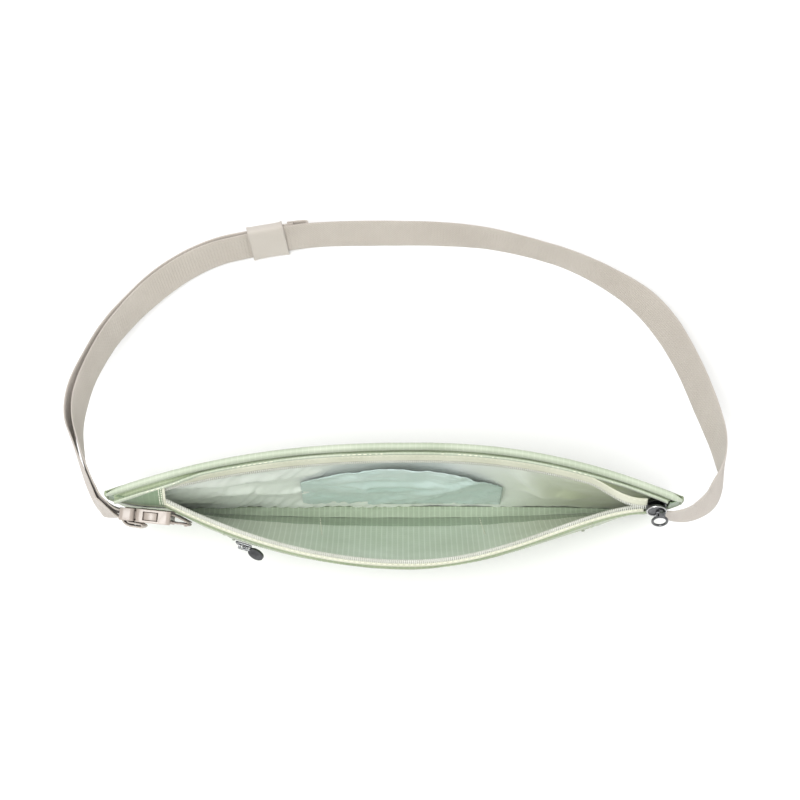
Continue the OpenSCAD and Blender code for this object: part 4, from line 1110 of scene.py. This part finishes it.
acetal, tree, shader = new_material("beige_acetal", Roughness=0.35, Coat_Weight=0.15, Coat_Roughness=0.2)
place = add_node(tree, "ShaderNodeTexCoord")
grain = add_node(tree, "ShaderNodeTexNoise",
                 [("Vector", place.outputs["Object"]), ("Scale", 1500.0), ("Detail", 4.0)])
toned(tree, shader, linear(174, 164, 155), linear(154, 142, 133), grain.outputs[0], 0.4, 70,
      grain.outputs[0], 0.00003)
rounded_copy("buckle_female", "buckle_housing", acetal, 0.4, "pouch")
rounded_copy("buckle_male", "buckle_plug", acetal, 0.5, "buckle_male")
rounded_copy("arm_upper", "buckle_arm_upper", acetal, 0.45, "arm_upper")
rounded_copy("arm_lower", "buckle_arm_lower", acetal, 0.45, "arm_lower")

# ---- Buckle tab ----------------------------------------------------------------------------------
# A short loop of darker webbing holds the housing: round its bar and sewn into the front's seam.
tab_path = np.array([
    [21.6, -1.4], [18.5, 0], [14.4, 1.6], [12.4, 1.85], [10.9, 1.75], [9.9, 1.1],
    [9.6, 0], [9.9, -1.1], [10.9, -1.75], [12.4, -1.95], [14.4, -2.2], [18, -2.2],
    [21.6, -2.65]])
tab_cloth = webbing_material("tab_webbing", linear(178, 166, 156), linear(132, 122, 113), 0.0009, 0.00018)
tab_points = at_buckle(tab_path)
tab_rows = np.column_stack([tab_points, np.repeat(buckle_turn[:, 2][None], len(tab_points), 0)])
tab = webbing("buckle_tab_loop", *banded(tab_rows, rib_pitch / 6), web_half - 0.5, 1.0, 0.14, tab_cloth,
              seed=14)
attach(tab, "pouch")
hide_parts("buckle_tab")
grey_thread = thread_material("greige_thread", linear(190, 178, 166), linear(150, 138, 126))


def bartack(name, place, across, out, node):
    """Bars of close zigzag stitches across the webbing, one near each edge and one in the middle."""
    for k, shift in enumerate((-7.0, 0.0, 7.0)):
        share = np.linspace(-1.6, 1.6, 40)[:, None]
        line = place + across * (shift + share)
        row = stitches(f"{name}_{k}", line, np.repeat(out[None], 40, 0), grey_thread, pitch=0.45, length=1.6,
                       radius=0.22, slant=6.0)
        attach(row, "pouch")
        if k == 0:
            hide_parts(node)


tab_spot = at_buckle(np.array([[20.2, -3.1]]))[0]
bartack("tab_bartack", tab_spot, buckle_turn[:, 2], -buckle_turn[:, 1], "tab_stitch")
bartack("strap_bartack", strap_route[1, :3] + np.array([1.0, -0.75, 0]), np.array([0, 0, 1.0]),
        np.array([0, -1.0, 0]), "strap_stitch")

# ---- Main slider and its ring --------------------------------------------------------------------
# The slider and the round wire ring that pulls it are die-cast metal with a black nickel finish.
def nickel_material(name, roughness, light, dark):
    """Plated die-cast metal, unevenly worn: noise on Object coordinates over two tones."""
    material, tree, shader = new_material(name, Metallic=1.0, Roughness=roughness)
    place = add_node(tree, "ShaderNodeTexCoord")
    wear = add_node(tree, "ShaderNodeTexNoise",
                    [("Vector", place.outputs["Object"]), ("Scale", 700.0), ("Detail", 5.0)])
    toned(tree, shader, light, dark, wear.outputs[0], 0.5, 160, wear.outputs[0], 0.00002)
    return material


nickel = nickel_material("black_nickel", 0.28, linear(128, 129, 130), linear(62, 63, 65))
rounded_copy("main_slider", "main_slider_body", nickel, 0.4, "main_slider")
rounded_copy("main_puller", "main_puller_ring", nickel, 0.1, "main_puller")
bright = nickel_material("bright_nickel", 0.2, linear(220, 220, 218), linear(160, 161, 162))
slider_spot, slider_tilt = np.array([132.6, -19.0, 115.2]), np.radians(60)
w, turn = np.meshgrid(np.linspace(0, tau, 97)[:-1], np.linspace(0, tau, 13)[:-1], indexing="ij")
rim_r = 0.42 * np.cos(turn)
rim = np.stack([(4.75 + rim_r) * np.cos(w), (3.65 + rim_r) * np.sin(w), 2.25 + 0.42 * np.sin(turn)], -1)
rim_turn = np.array(Matrix.Rotation(slider_tilt, 3, "X"))
rim_points = rim @ rim_turn.T + slider_spot
slider_rim = make_piece("main_slider_rim", rim_points, wrap=True, ring=True, material=bright)
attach(slider_rim, "main_slider")

# ---- Pocket slider and its pull ------------------------------------------------------------------
# The front pocket's slider has a small oval pull with a dimpled face.
pocket_slider = rounded_copy("pocket_slider", "pocket_slider_body", nickel, 0.3, "pocket_slider")
pocket_puller = rounded_copy("pocket_puller", "pocket_puller_tab", nickel, 0.25, "pocket_puller")
for piece in (pocket_slider, pocket_puller):
    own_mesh(piece)
